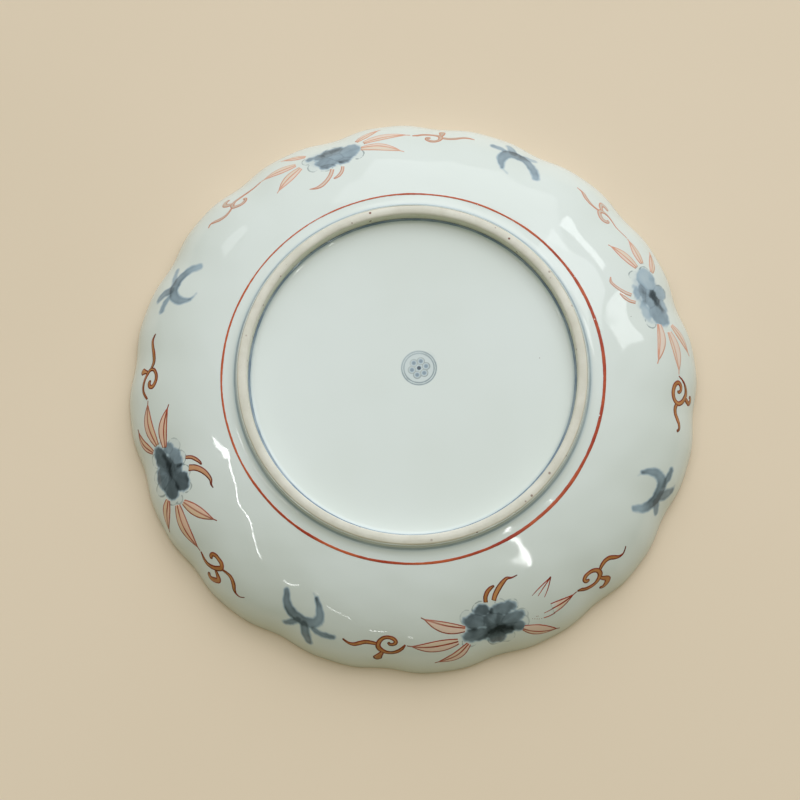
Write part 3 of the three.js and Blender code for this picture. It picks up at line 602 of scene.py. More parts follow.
def bird_blue(u, s, strokes, seed):
    """Depth of blue of one bird: where strokes overlap the deepest, and a little of the next."""
    wander = drift(u, s, seed)
    layers = []
    for path, widths, depths in strokes:
        gap, share = stroke_gap(u, s, path, widths)
        gap = gap + 0.6 * wander - 0.12
        depth = np.interp(share, np.linspace(0, 1, len(depths)), depths)
        layers.append(depth * smoothstep(0.7, -0.6, gap) * (1 - 0.12 * smoothstep(-0.2, -1.6, gap)))
    layers = np.sort(np.stack(layers), axis=0)
    return (layers[-1] + 0.25 * layers[-2]) * streaks(u, s, (-2.0, 34.0), seed)


def back_painting(turn, distance):
    """Depth of blue and distance to a thin outline, at places on the back."""
    depth = np.zeros(len(turn))
    lines = np.full(len(turn), CIRCLE_REACH)
    motifs = [(SPRAYS[name]["turn"], blossom) for name, blossom in BLOSSOMS.items()]
    motifs += list(BIRDS.items())
    for seed, (middle, motif) in enumerate(motifs):
        u = SPRAY_RADIUS * ((turn - math.radians(middle) + math.pi) % math.tau - math.pi)
        near = (np.abs(u) < MOTIF_REACH) & (distance > MOTIF_FROM) & (distance < MOTIF_TO)
        if not near.any():
            continue
        if isinstance(motif, dict):
            blue, thin = blossom_blue(u[near], distance[near], motif, seed)
            lines[near] = np.minimum(lines[near], thin)
        else:
            blue = bird_blue(u[near], distance[near], motif, seed)
        depth[near] = np.maximum(depth[near], blue)
    return depth, lines


def mark_painting(x, y):
    """Depth of blue, and distance to a line, of the rosette inside the foot."""
    x, y = x - MARK_PLACE[0], y - MARK_PLACE[1]
    radius = np.hypot(x, y)
    lines = np.min([np.abs(radius - ring) for ring in MARK_CIRCLES], axis=0)
    depth = np.zeros(len(x))
    for k in range(MARK_PETALS):
        angle = math.tau * k / MARK_PETALS + MARK_TURN
        gap = np.hypot(x - MARK_PETAL_RING * math.cos(angle), y - MARK_PETAL_RING * math.sin(angle))
        lines = np.minimum(lines, np.abs(gap - MARK_PETAL_RADIUS))
        depth = np.maximum(depth, 0.36 * smoothstep(MARK_PETAL_RADIUS, 0.4, gap))
    depth = np.maximum(depth, 0.6 * smoothstep(1.1, 0.5, radius))
    depth = np.maximum(depth, 0.07 * smoothstep(MARK_CIRCLES[0] + 0.5, MARK_CIRCLES[0] - 0.5, radius))
    for ring in MARK_CIRCLES:
        depth = np.maximum(depth, 0.17 * smoothstep(0.5, 0.0, np.abs(radius - ring)))
    return depth, lines


def arc(middle, radius, start, end, steps):
    """Points of a circular arc in an outline, from and to angles in degrees."""
    angles = np.radians(np.linspace(start, end, steps + 1))
    return [(middle[0] + radius * math.cos(a), middle[1] + radius * math.sin(a)) for a in angles]


def bend(start, corner, end, steps):
    """Points of a smooth bend that turns a corner in an outline."""
    part = np.linspace(0, 1, steps + 1)[:, None]
    start, corner, end = (np.array(point) for point in (start, corner, end))
    return [tuple(p) for p in (1 - part) ** 2 * start + 2 * part * (1 - part) * corner + part ** 2 * end]


def recess_fillet():
    """The hollow curve from the recess floor up to the inner root of the foot."""
    return arc((FILLET_MIDDLE, RECESS_Z + FILLET), FILLET, -90, -42, 10)


def foot_root_bend():
    """The glaze's run from the foot's outer side into the wall."""
    top = (FOOT_TOP_OUTER + 0.3, TOTAL_HEIGHT - GLAZE_END - 1.6)
    root_z = float(back_at(np.interp(distance_at(GLAZE_ROOT), LENGTHS, ANGLES))[1])
    return bend(top, (FOOT_TOP_OUTER + 0.6, root_z + 0.62), (GLAZE_ROOT, root_z), 14)


def dish_rings():
    """The glazed body's outline, from the middle of the recess over the rim to the middle of the well.

    Each ring of vertices is its radius, its height, its distance over the back where it lies there,
    and how much it follows the uneven end of the glaze.
    """
    rings = []

    def lay(points, follow=0.0):
        rings.extend((r, z, math.nan, follow) for r, z in points)

    radii = list(np.arange(0.0, MARK_REACH, MARK_STEP))
    radii += list(np.linspace(MARK_REACH + 1.1, FILLET_MIDDLE - 1.2, 14))
    lay([(r, RECESS_Z + RECESS_CROWN * (1 - (r / FILLET_MIDDLE) ** 2)) for r in radii])
    lay(recess_fillet())
    # Under the bare foot, and up again behind its outer side to the end of the glaze
    seat = RECESS_Z + 0.35
    lay([(60.72, RECESS_Z + 0.86), (60.84, RECESS_Z + 0.86), (60.92, RECESS_Z + 0.7), (61.1, seat)])
    skin = FOOT_TOP_OUTER - GLAZE_SKIN - 0.05
    lay([(skin - 0.1, seat + 0.9), (skin - 0.05, TOTAL_HEIGHT - 2.0)])
    end = TOTAL_HEIGHT - GLAZE_END
    lay([(skin, end - 0.35), (skin + 0.03, end - 0.08), (skin + 0.12, end),
         (FOOT_TOP_OUTER + 0.06, end - 0.14), (FOOT_TOP_OUTER + 0.1, end - 0.4)], follow=1.0)
    lay([(FOOT_TOP_OUTER + 0.16, end - 1.0)], follow=0.3)
    root = foot_root_bend()
    lay(root[:-1])
    # Over the wall and round the lip, and down inside to the well
    start = distance_at(root[-1][0])
    count = round((start - LIP_ROUND) / WALL_STEP)
    for distance in np.linspace(start, LIP_ROUND, count + 1):
        r, z = back_at(np.interp(distance, LENGTHS, ANGLES))
        rings.append((float(r), float(z), float(distance), 0.0))
    lay(arc((RIM_RADIUS - LIP_ROUND, LIP_ROUND), LIP_ROUND, -15, -90, 5))
    lay(arc((INNER_RIM_RADIUS + LIP_ROUND, LIP_ROUND), LIP_ROUND, -90, -165, 5))
    reach = INNER_RIM_RADIUS - WELL_CURVE_RADIUS
    for angle in np.linspace(math.asin(LIP_ROUND / WELL_Z), math.pi / 2, 26):
        lay([(WELL_CURVE_RADIUS + reach * math.cos(angle), WELL_Z * math.sin(angle))])
    well = (54, 52.8, 52.2, 51.8, 51.4, 50.9, 50.4, 50, 49.6, 49, 48, 40, 30, 20, 10, 4, 0)
    lay([(r, WELL_Z) for r in well])
    return np.array(rings)


def glaze_end_wander(turn):
    """How the end of the glaze on the foot rises and falls round the ring."""
    return (0.16 * np.sin(5 * turn + 0.6) + 0.12 * np.sin(11 * turn + 2.2)
            + 0.08 * np.sin(23 * turn + 4.1) + 0.05 * np.sin(47 * turn + 1.3))


def place_on_dish(rings, column, ring):
    """Places for vertex columns and rings, which may lie between the rings of the outline."""
    turn = column * math.tau / AROUND
    low = np.minimum(np.floor(ring).astype(int), len(rings) - 1)
    high = np.minimum(low + 1, len(rings) - 1)
    part = (ring - low)[:, None]
    mixed = np.where(part > 0, rings[low] * (1 - part) + rings[high] * part, rings[low])
    radius, height, distance, follow = mixed.T
    wall = ~np.isnan(distance)
    out = radius + lobe_at(turn, radius)
    height = height + follow * glaze_end_wander(turn)
    places = np.stack([out * np.cos(turn), out * np.sin(turn), height], axis=-1)
    places[wall] = on_back(turn[wall], distance[wall])
    return places, turn, distance


def circle_gap(places):
    """Distance to the nearest blue circle: two at the roots of the foot, and two round the well."""
    radius = np.hypot(places[:, 0], places[:, 1])
    height = places[:, 2]
    inner = recess_fillet()[-1]
    outer = foot_root_bend()[5]
    gaps = [np.hypot(radius - ring_radius, height - ring_z) for ring_radius, ring_z in (inner, outer)]
    gaps += [np.where(height < WELL_Z + 0.01, np.abs(radius - ring), CIRCLE_REACH) for ring in WELL_CIRCLES]
    return np.minimum(np.min(gaps, axis=0), CIRCLE_REACH)


def painted_cells(rings):
    """True for each cell of the back that holds blue painting, or lies beside one that does."""
    samples = np.linspace(0, 1, 4)
    found = np.zeros((len(rings) - 1, AROUND), bool)
    wall = ~np.isnan(rings[:, 2])
    for ring in np.flatnonzero(wall[:-1] & wall[1:]):
        column = np.arange(AROUND)
        for across in samples:
            for along in samples:
                distance = rings[ring, 2] * (1 - along) + rings[ring + 1, 2] * along
                turn = (column + across) * math.tau / AROUND
                depth, lines = back_painting(turn, np.full(AROUND, distance))
                found[ring] |= (depth > 0.01) | (lines < 0.6)
    return found


def build_dish():
    """The whole glazed body as one closed mesh, finer where it is painted under the glaze."""
    rings = dish_rings()
    split = painted_cells(rings)
    last = len(rings) - 1
    index, columns, ring_places = {}, [], []

    def vertex(column, ring):
        """The vertex on a lattice SPLIT times finer than the cells."""
        if ring in (0, last * SPLIT):
            column = 0
        key = (column % (AROUND * SPLIT), ring)
        if key not in index:
            index[key] = len(columns)
            columns.append(key[0] / SPLIT)
            ring_places.append(ring / SPLIT)
        return index[key]

    faces = []
    for ring in range(last):
        for column in range(AROUND):
            left, low = column * SPLIT, ring * SPLIT
            if split[ring, column]:
                for i in range(SPLIT):
                    for j in range(SPLIT):
                        corners = ((left + i, low + j), (left + i + 1, low + j),
                                   (left + i + 1, low + j + 1), (left + i, low + j + 1))
                        faces.append([vertex(*corner) for corner in corners])
                continue
            steps = range(SPLIT)
            below = ring > 0 and split[ring - 1, column]
            above = ring + 1 < last and split[ring + 1, column]
            sides = (
                ([(left + i, low) for i in steps], below),
                ([(left + SPLIT, low + i) for i in steps], split[ring, (column + 1) % AROUND]),
                ([(left + SPLIT - i, low + SPLIT) for i in steps], above),
                ([(left, low + SPLIT - i) for i in steps], split[ring, column - 1]),
            )
            outline = []
            for side, beside_fine in sides:
                outline += [vertex(*place) for place in side[:SPLIT if beside_fine else 1]]
            faces.append([v for k, v in enumerate(outline) if v != outline[k - 1]])
    places, turn, distance = place_on_dish(rings, np.array(columns), np.array(ring_places))
    depth = np.zeros(len(places))
    lines = np.full(len(places), CIRCLE_REACH)
    wall = ~np.isnan(distance)
    depth[wall], lines[wall] = back_painting(turn[wall], distance[wall])
    marked = (np.hypot(places[:, 0], places[:, 1]) < MARK_REACH + 0.6) & (places[:, 2] > RECESS_Z - 1)
    depth[marked], lines[marked] = mark_painting(places[marked, 0], places[marked, 1])
    values = {"blue_depth": depth, "outline_gap": lines, "circle_gap": circle_gap(places)}
    return make_mesh("glazed_dish", places, faces, values)


def make_mesh(name, places, faces, values=None):
    """A smooth-shaded object from places in millimetres, with a value at each vertex for the finishes."""
    mesh = bpy.data.meshes.new(name)
    mesh.from_pydata((np.asarray(places) * MM).tolist(), [], faces)
    for title, numbers in (values or {}).items():
        layer = mesh.attributes.new(title, "FLOAT", "POINT")
        layer.data.foreach_set("value", np.asarray(numbers, np.float32))
    mesh.polygons.foreach_set("use_smooth", [True] * len(mesh.polygons))
    mesh.update()
    piece = bpy.data.objects.new(name, mesh)
    bpy.context.scene.collection.objects.link(piece)
    return piece


def dress(piece, nodes, material):
    """Puts a piece in the place of its solids, with its finish."""
    piece.data.materials.append(material)
    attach(piece, "root")
    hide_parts(*nodes)


def ring_faces(columns, count):
    """Faces of a closed ring of vertex columns, each with this many vertices round its outline."""
    faces = []
    for column in range(columns):
        here, there = column * count, (column + 1) % columns * count
        for row in range(count):
            after = (row + 1) % count
            faces.append([here + row, there + row, there + after, here + after])
    return faces


def build_foot():
    """The bare foot: its inner side and its crowned land, a closed ring set into the glazed body."""
    inner = FOOT_ROOT_INNER + 0.04

    def crown(radius):
        return TOTAL_HEIGHT - (radius - LAND_MIDDLE) ** 2 / (2 * LAND_CROWN)

    outline = [(inner, RECESS_Z + z) for z in (0.6, 1.4, 2.4, 3.4, 4.2)]
    outline += bend((inner + 0.01, TOTAL_HEIGHT - 1.0), (inner + 0.04, TOTAL_HEIGHT - 0.4),
                    (inner + 0.62, crown(inner + 0.62)), 5)
    outline += [(r, crown(r)) for r in (61.9, 62.3, LAND_MIDDLE, 63.0, 63.4, 63.75)]
    outline += bend((63.95, crown(63.95)), (CLAY_OUTER - 0.04, crown(64.1) - 0.1),
                    (CLAY_OUTER, TOTAL_HEIGHT - 1.1), 5)
    outline += [(CLAY_OUTER, TOTAL_HEIGHT - 1.6), (CLAY_OUTER, TOTAL_HEIGHT - 3.0),
                (CLAY_OUTER, RECESS_Z + 1.35), (inner + 0.3, RECESS_Z + 0.45)]
    return turned_ring("bare_foot", outline)


def turned_ring(name, outline):
    """A closed ring turned from a closed outline."""
    count = len(outline)
    turn = np.repeat(np.arange(AROUND) * math.tau / AROUND, count)
    radius, height = np.tile(np.array(outline), (AROUND, 1)).T
    places = np.stack([radius * np.cos(turn), radius * np.sin(turn), height], axis=-1)
    return make_mesh(name, places, ring_faces(AROUND, count))


def strip(line, ahead, halves, turn, across_steps, rise, values_at):
    """One enamel stroke as a closed strip, domed over the glaze and rooted under it.

    line, ahead and halves give its middle, direction and half width along it in (u, s).
    """
    across = np.sin(np.linspace(-1, 1, across_steps + 1) * math.pi / 2)
    side = np.stack([-ahead[:, 1], ahead[:, 0]], axis=-1)
    spread = np.concatenate([across, [0.92, -0.92]])
    places, shares = [], []
    for i, (middle, out, half) in enumerate(zip(line, side, halves)):
        dome = (rise + ENAMEL_SINK) * (1 - across ** 6) * min(1.0, 2.5 * half) - ENAMEL_SINK
        lift = np.concatenate([dome, [-ENAMEL_ROOT, -ENAMEL_ROOT]])
        flat = middle + np.outer(spread * half, out)
        places.append(on_back(turn + flat[:, 0] / SPRAY_RADIUS, flat[:, 1], lift))
        shares.append(np.stack([spread, np.full(len(spread), i)], axis=-1))
    count = across_steps + 3
    faces = [list(range(count))[::-1]]
    for i in range(len(line) - 1):
        for k in range(count):
            here, there = i * count, (i + 1) * count
            faces.append([here + k, here + (k + 1) % count, there + (k + 1) % count, there + k])
    faces.append([(len(line) - 1) * count + k for k in range(count)])
    shares = np.vstack(shares)
    return np.vstack(places), faces, values_at(shares[:, 0], shares[:, 1].astype(int))


def brush(turn, path, steps, shape=None, rib=0.0, across_steps=8, rise=ENAMEL_RISE, start=0.0,
          fill=1.0, tone=0.0, ink=1.0):
    """A hand-painted stroke: its mesh and the distances that its finish is drawn from.

    shape gives the width from 0 at the first place to 1 at the last. Without it each place of the
    path has its own. The enamel begins start millimetres along. fill is how much of the filling
    colour is left, tone how light it is, and ink how strong its lines are.
    """
    places, length, at_points = smooth_path(path)
    total = length[-1]

    def half_at(along):
        if shape:
            return np.maximum(shape(along / total), POINT_WIDTH) / 2
        return np.interp(along, at_points, [point[2] for point in path]) / 2

    cap = float(half_at(total))
    body = np.linspace(start, total - cap, steps)
    end = total - cap * (1 - np.sin(np.linspace(0, math.pi / 2, 6)))[1:]
    along = np.concatenate([body, end])
    line = np.stack([np.interp(along, length, places[:, i]) for i in (0, 1)], axis=-1)
    ahead = np.gradient(places, axis=0)
    ahead = np.stack([np.interp(along, length, ahead[:, i]) for i in (0, 1)], axis=-1)
    ahead = ahead / np.hypot(ahead[:, 0], ahead[:, 1])[:, None]
    into_cap = np.clip(along - (total - cap), 0.0, cap)
    halves = np.maximum(half_at(along) * np.sqrt(1 - (into_cap / cap) ** 2), 0.03)

    def values_at(across, row):
        even = np.ones(len(across))
        rim = (1 - np.abs(across)) * halves[row]
        round_end = cap - np.hypot(into_cap[row], across * halves[row])
        left = smoothstep(start - 0.01, start + 3.0, along[row]) if start else even
        return {
            "edge_gap": np.where(into_cap[row] > 0, np.maximum(round_end, 0.0), rim),
            "rib_gap": (across - rib) * halves[row],
            "tip_gap": total - along[row],
            "fill": fill * left,
            "tone": tone * even,
            "ink": ink * even,
        }

    return strip(line, ahead, halves, turn, across_steps, rise, values_at)


def gathered(name, strips):
    """Several strips as one object."""
    places, faces, values = [], [], []
    start = 0
    for strip_places, strip_faces, strip_values in strips:
        faces += [[v + start for v in face] for face in strip_faces]
        start += len(strip_places)
        places.append(strip_places)
        values.append(strip_values)
    return make_mesh(name, np.vstack(places), faces,
                     {key: np.concatenate([v[key] for v in values]) for key in values[0]})


def leaf_shape(share):
    """A leaf's width along it, as a share of its greatest."""
    return np.sin(math.pi * np.minimum(0.16 + 0.90 * share, 1.0)) ** 0.9


# How much of the filling colour is left, and how strong the lines are, in each spray. Of a scroll's two
# values the first is for the one ahead. The tone is how light the hooks' colour is.
LEAF_FILL = {"left": 0.85, "near": 0.66, "right": 0.5, "far": 0.5}
LEAF_INK = {"left": 1.0, "near": 1.0, "right": 0.45, "far": 0.4}
SCROLL_FILL = {"left": (1.0, 1.0), "near": (1.0, 1.0), "right": (0.45, 1.0), "far": (0.5, 0.6)}
SCROLL_INK = {"left": (1.0, 1.0), "near": (1.0, 1.0), "right": (0.45, 0.9), "far": (0.5, 0.5)}
HOOK_FILL = {"left": 1.0, "near": 1.0, "right": 0.35, "far": 0.5}
HOOK_INK = {"left": 1.0, "near": 1.0, "right": 0.45, "far": 0.5}
HOOK_TONE = {"left": 0.75, "near": 0.0, "right": 1.0, "far": 1.0}


def led_in(path):
    """The same stroke, begun a little earlier."""
    (u, s, width), (next_u, next_s, _) = path[:2]
    share = LEAD_IN / math.dist((u, s), (next_u, next_s))
    return [(u + (u - next_u) * share, s + (s - next_s) * share, 0.8 * width)] + list(path)


def painted_leaf(name, hand, i, turn, leaf):
    """The strips of one leaf: its body, or what the flaking has left of it."""
    base, bow, tip, width = leaf
    key = (name, hand, i)
    side = 1 if hand == "ahead" else -1
    rib = RIBS[name][hand][i - 1] * side
    strips = [brush(turn, path, 16, across_steps=4) for path in BARE_LINES.get(key, ())]
    if key in FLAKED_START:
        for u, s in CRUMBS:
            strips.append(brush(turn, ((u, s, 0.3), (u + 0.35, s - 0.1, 0.3)), 2, across_steps=4))
    if key in FLAKED_START or not strips:
        strips.append(brush(turn, (base, bow, tip), 40, lambda share: width * leaf_shape(share), rib=rib,
                            start=FLAKED_START.get(key, 0.0), fill=LEAF_FILL[name], ink=LEAF_INK[name]))
    return strips


def build_sprays(leaf_enamel, ochre_enamel):
    """Every enamel stroke of the four sprays, each in the place of its own solid."""
    for name, spray in SPRAYS.items():
        turn = math.radians(spray["turn"])
        for k, hand in enumerate(("ahead", "behind")):
            for i, leaf in enumerate(spray["leaves"][hand], 1):
                title = f"{name}_leaf_{hand}_{i}"
                strips = painted_leaf(name, hand, i, turn, leaf)
                dress(gathered("painted_" + title, strips), [title], leaf_enamel)
            scroll = spray["scrolls"][hand]
            fill, ink = SCROLL_FILL[name][k], SCROLL_INK[name][k]
            strips = [brush(turn, led_in(scroll["curl"]), 72, fill=fill, ink=ink),
                      brush(turn, scroll["tail"], 40, rise=0.8 * ENAMEL_RISE, fill=fill, ink=ink),
                      brush(turn, scroll["spur"], 32, rise=0.8 * ENAMEL_RISE, fill=fill, ink=ink)]
            title = f"{name}_scroll_{hand}"
            dress(gathered("painted_" + title, strips), [title], ochre_enamel)
        for i, path in enumerate(spray["hooks"], 1):
            title = f"{name}_hook_{i}"
            hook = brush(turn, path, 40, fill=HOOK_FILL[name], tone=HOOK_TONE[name], ink=HOOK_INK[name])
            dress(gathered("painted_" + title, [hook]), [title], ochre_enamel)


def red_line_width(turn):
    """The brush was fullest at the near right and ran nearly dry over the far side."""
    return (1.06 + 0.30 * np.cos(turn + 0.7) + 0.10 * np.cos(2 * turn) + 0.07 * np.sin(5 * turn)
            + 0.05 * np.sin(17 * turn + 1) + 0.04 * np.sin(29 * turn + 2))


def build_red_line():
    """The red circle outside the foot, drawn on the wheel with a brush: it swells and thins."""
    steps = 2 * AROUND
    turn = np.linspace(0, math.tau, steps, endpoint=False)
    width = red_line_width(turn)
    middle = distance_at(RED_RING_RADIUS) - 0.2 - (0.18 * np.cos(turn) - 0.11 * np.sin(turn)
                                                   + 0.14 * np.cos(2 * turn) + 0.15 * np.sin(2 * turn))
    across = np.sin(np.linspace(-1, 1, 7) * math.pi / 2)
    spread = np.concatenate([across, [0.9, -0.9]])
    dome = (ENAMEL_RISE + ENAMEL_SINK) * (1 - across ** 6) - ENAMEL_SINK
    dome = np.concatenate([dome, [-ENAMEL_ROOT] * 2])
    count = len(spread)
    places = [on_back(np.full(count, t), m + spread * w / 2, dome) for t, m, w in zip(turn, middle, width)]
    edge = np.concatenate([(1 - np.abs(spread)) * w / 2 for w in width])
    load = np.repeat(smoothstep(0.65, 1.35, width), count)
    values = {"edge_gap": edge, "load": load}
    return make_mesh("red_line", np.vstack(places), ring_faces(steps, count), values)


class Graph:
    """A node tree, with short calls for the nodes that the finishes are made of."""

    def __init__(self, tree):
        self.tree = tree

    def node(self, kind, inputs=None, **settings):
        made = self.tree.nodes.new(kind)
        for name, value in settings.items():
            setattr(made, name, value)
        for name, value in (inputs or {}).items():
            self.feed(made.inputs[name], value)
        return made

    def feed(self, socket, value):
        if isinstance(value, bpy.types.NodeSocket):
            self.tree.links.new(value, socket)
        else:
            socket.default_value = value

    def math(self, operation, *values):
        made = self.node("ShaderNodeMath", operation=operation)
        for socket, value in zip(made.inputs, values):
            self.feed(socket, value)
        return made.outputs[0]

    def span(self, value, low, high, first=0.0, last=1.0):
        """value eased from first at low to last at high."""
        return self.node("ShaderNodeMapRange", {"Value": value, "From Min": low, "From Max": high,
                                                "To Min": first, "To Max": last},
                         interpolation_type="SMOOTHSTEP").outputs["Result"]

    def mix(self, share, first, second, blend="MIX"):
        return self.node("ShaderNodeMixRGB", {"Fac": share, "Color1": first, "Color2": second},
                         blend_type=blend).outputs["Color"]

    def ramp(self, value, stops):
        made = self.node("ShaderNodeValToRGB", {"Fac": value})
        points = made.color_ramp.elements
        while len(points) < len(stops):
            points.new(0.5)
        for point, (place, colour) in zip(points, stops):
            point.position = place
            point.color = colour
        return made.outputs["Color"]

    def attribute(self, name):
        return self.node("ShaderNodeAttribute", attribute_name=name).outputs["Fac"]

    def place(self):
        return self.node("ShaderNodeTexCoord").outputs["Object"]

    def radius(self):
        """Distance from the plate's axis, in metres."""
        place = self.node("ShaderNodeSeparateXYZ", {"Vector": self.place()}).outputs
        across = self.node("ShaderNodeCombineXYZ", {"X": place["X"], "Y": place["Y"]}).outputs["Vector"]
        return self.node("ShaderNodeVectorMath", {0: across}, operation="LENGTH").outputs["Value"]

    def noise(self, scale, detail=2.0, roughness=0.5):
        """A noise of the given grain per metre, from 0 to 1."""
        return self.node("ShaderNodeTexNoise", {"Vector": self.place(), "Scale": scale,
                                                "Detail": detail, "Roughness": roughness}).outputs["Fac"]

    def group(self, group, inputs):
        return self.node("ShaderNodeGroup", inputs, node_tree=group).outputs


def colour(red, green, blue):
    """A colour as it looks on a screen, 0 to 255, as the linear one that a shader takes."""
    parts = [c / 255 for c in (red, green, blue)]
    return tuple(c / 12.92 if c <= 0.04045 else ((c + 0.055) / 1.055) ** 2.4 for c in parts) + (1.0,)


def new_group(name, inputs, outputs):
    """A node group with named values in and out, its graph, and its two ends."""
    tree = bpy.data.node_groups.new(name, "ShaderNodeTree")
    for title, start in inputs.items():
        tree.interface.new_socket(title, in_out="INPUT", socket_type="NodeSocketFloat").default_value = start
    for title in outputs:
        tree.interface.new_socket(title, in_out="OUTPUT", socket_type="NodeSocketFloat")
    graph = Graph(tree)
    return graph, graph.node("NodeGroupInput").outputs, graph.node("NodeGroupOutput").inputs


def brushed_line_group():
    """A drawn line from the distance to its edge: it wanders, and its colour runs thin in places."""
    graph, given, out = new_group("brushed_line", {"Gap": 0.0, "Half Width": 0.2, "Wander": 0.1, "Thin": 0.3},
                                  ["Mask"])
    wander = graph.math("SUBTRACT", graph.noise(420.0), 0.5)
    gap = graph.math("MULTIPLY_ADD", wander, given["Wander"], given["Gap"])
    inner = graph.math("SUBTRACT", given["Half Width"], 0.07)
    outer = graph.math("ADD", given["Half Width"], 0.07)
    line = graph.span(gap, inner, outer, 1.0, 0.0)
    load = graph.span(graph.noise(95.0, detail=3.0), 0.35, 0.62, 1.0, 0.0)
    load = graph.math("SUBTRACT", 1.0, graph.math("MULTIPLY", load, given["Thin"]))
    graph.feed(out["Mask"], graph.math("MULTIPLY", line, load))
    return graph.tree


def mottle_group():
    """Uneven strength of a colour laid on with a wet brush, around 1."""
    graph, given, out = new_group("brush_mottle", {"Grain": 300.0, "Amount": 0.3}, ["Strength"])
    coarse = graph.noise(given["Grain"], detail=3.0, roughness=0.6)
    amount = graph.math("MULTIPLY", given["Amount"], 2.0)
    swing = graph.math("MULTIPLY", graph.math("SUBTRACT", coarse, 0.5), amount)
    graph.feed(out["Strength"], graph.math("ADD", swing, 1.0))
    return graph.tree


def speck_group():
    """Small round specks, as iron in the clay and dust in the kiln leave them."""
    graph, given, out = new_group("kiln_specks", {"Scale": 150.0, "Size": 0.08, "Share": 0.2}, ["Mask"])
    cells = graph.node("ShaderNodeTexVoronoi", {"Vector": graph.place(), "Scale": given["Scale"],
                                                "Randomness": 1.0})
    chosen = graph.node("ShaderNodeSeparateColor", {"Color": cells.outputs["Color"]})
    few = graph.math("LESS_THAN", chosen.outputs["Red"], given["Share"])
    size = graph.math("MULTIPLY", given["Size"], graph.math("ADD", chosen.outputs["Green"], 0.4))
    dot = graph.span(cells.outputs["Distance"], graph.math("MULTIPLY", size, 0.5), size, 1.0, 0.0)
    graph.feed(out["Mask"], graph.math("MULTIPLY", dot, few))
    return graph.tree


def ripple_group():
    """The slow ripple of a fired glaze and its faint orange-peel, as a height in metres."""
    graph, given, out = new_group("glaze_ripple", {"Ripple": 0.00002, "Peel": 0.000001}, ["Height"])
    ripple = graph.math("MULTIPLY", graph.noise(48.0, detail=1.0), given["Ripple"])
    peel = graph.math("MULTIPLY", graph.noise(900.0, detail=1.0), given["Peel"])
    graph.feed(out["Height"], graph.math("ADD", ripple, peel))
    return graph.tree


# Finishes
GLAZE_WHITE = colour(219, 226, 220)
GLAZE_GREEN = colour(214, 221, 213)
BARE_GLAZE = colour(217, 224, 217)
SLATE_BLUE = (                   # what the glaze's colour is multiplied by at each depth of blue
    (0.0, (1.0, 1.0, 1.0, 1.0)),
    (0.25, (0.50, 0.60, 0.73, 1.0)),
    (0.5, (0.142, 0.175, 0.214, 1.0)),
    (0.8, (0.023, 0.032, 0.046, 1.0)),
    (1.0, (0.012, 0.018, 0.022, 1.0)),
)
OUTLINE_BLUE = colour(104, 120, 120)
CIRCLE_BLUE_INSIDE = colour(94, 118, 140)
CIRCLE_BLUE_OUTSIDE = colour(112, 134, 146)
CIRCLE_HALO = colour(176, 196, 206)
IRON_RED = colour(136, 40, 18)
IRON_RED_THIN = colour(166, 64, 34)
IRON_RED_PALE = colour(208, 122, 82)
IRON_BROWN = colour(88, 32, 12)
LINE_RED = colour(158, 46, 18)
LINE_RED_DRY = colour(194, 94, 52)
SALMON = colour(228, 186, 158)
PALE_OCHRE = colour(222, 186, 148)
OCHRE = colour(190, 134, 82)
OCHRE_DEEP = colour(170, 114, 64)
HOOK_OCHRE = colour(206, 156, 118)
CLAY = colour(225, 222, 208)
CLAY_GREY = colour(212, 209, 193)
# Clay painted lighter on the foot's sides, as painted light against their shade
CLAY_WALL_PAINTED_LIGHT = colour(244, 243, 228)
# Clay painted warmer and darker at the land's outer bend, as painted warm light
CLAY_PAINTED_WARM_LIGHT = colour(214, 197, 170)
CLAY_STAIN = colour(208, 200, 184)
SPECK_BROWN = colour(92, 62, 44)
SPECK_RED = colour(132, 64, 42)
FLOOR_PALE = colour(226, 208, 181)
FLOOR_CLOUD = colour(222, 204, 176)


def new_material(name):
    """A material, its graph and its shader."""
    material = bpy.data.materials.new(name)
    material.use_nodes = True
    graph = Graph(material.node_tree)
    shader = material.node_tree.nodes["Principled BSDF"]
    return material, graph, shader


def bumped(graph, shader, height):
    """Leads a height in metres to the shader's normal."""
    bump = graph.node("ShaderNodeBump", {"Height": height, "Distance": 1.0, "Strength": 1.0})
    graph.feed(shader.inputs["Normal"], bump.outputs["Normal"])


def drawn_line(graph, groups, gap, half_width, wander, thin):
    """Where a line is drawn, from the distance to its middle or to a stroke's edge."""
    return graph.group(groups["line"], {"Gap": gap, "Half Width": half_width, "Wander": wander,
                                        "Thin": thin})["Mask"]


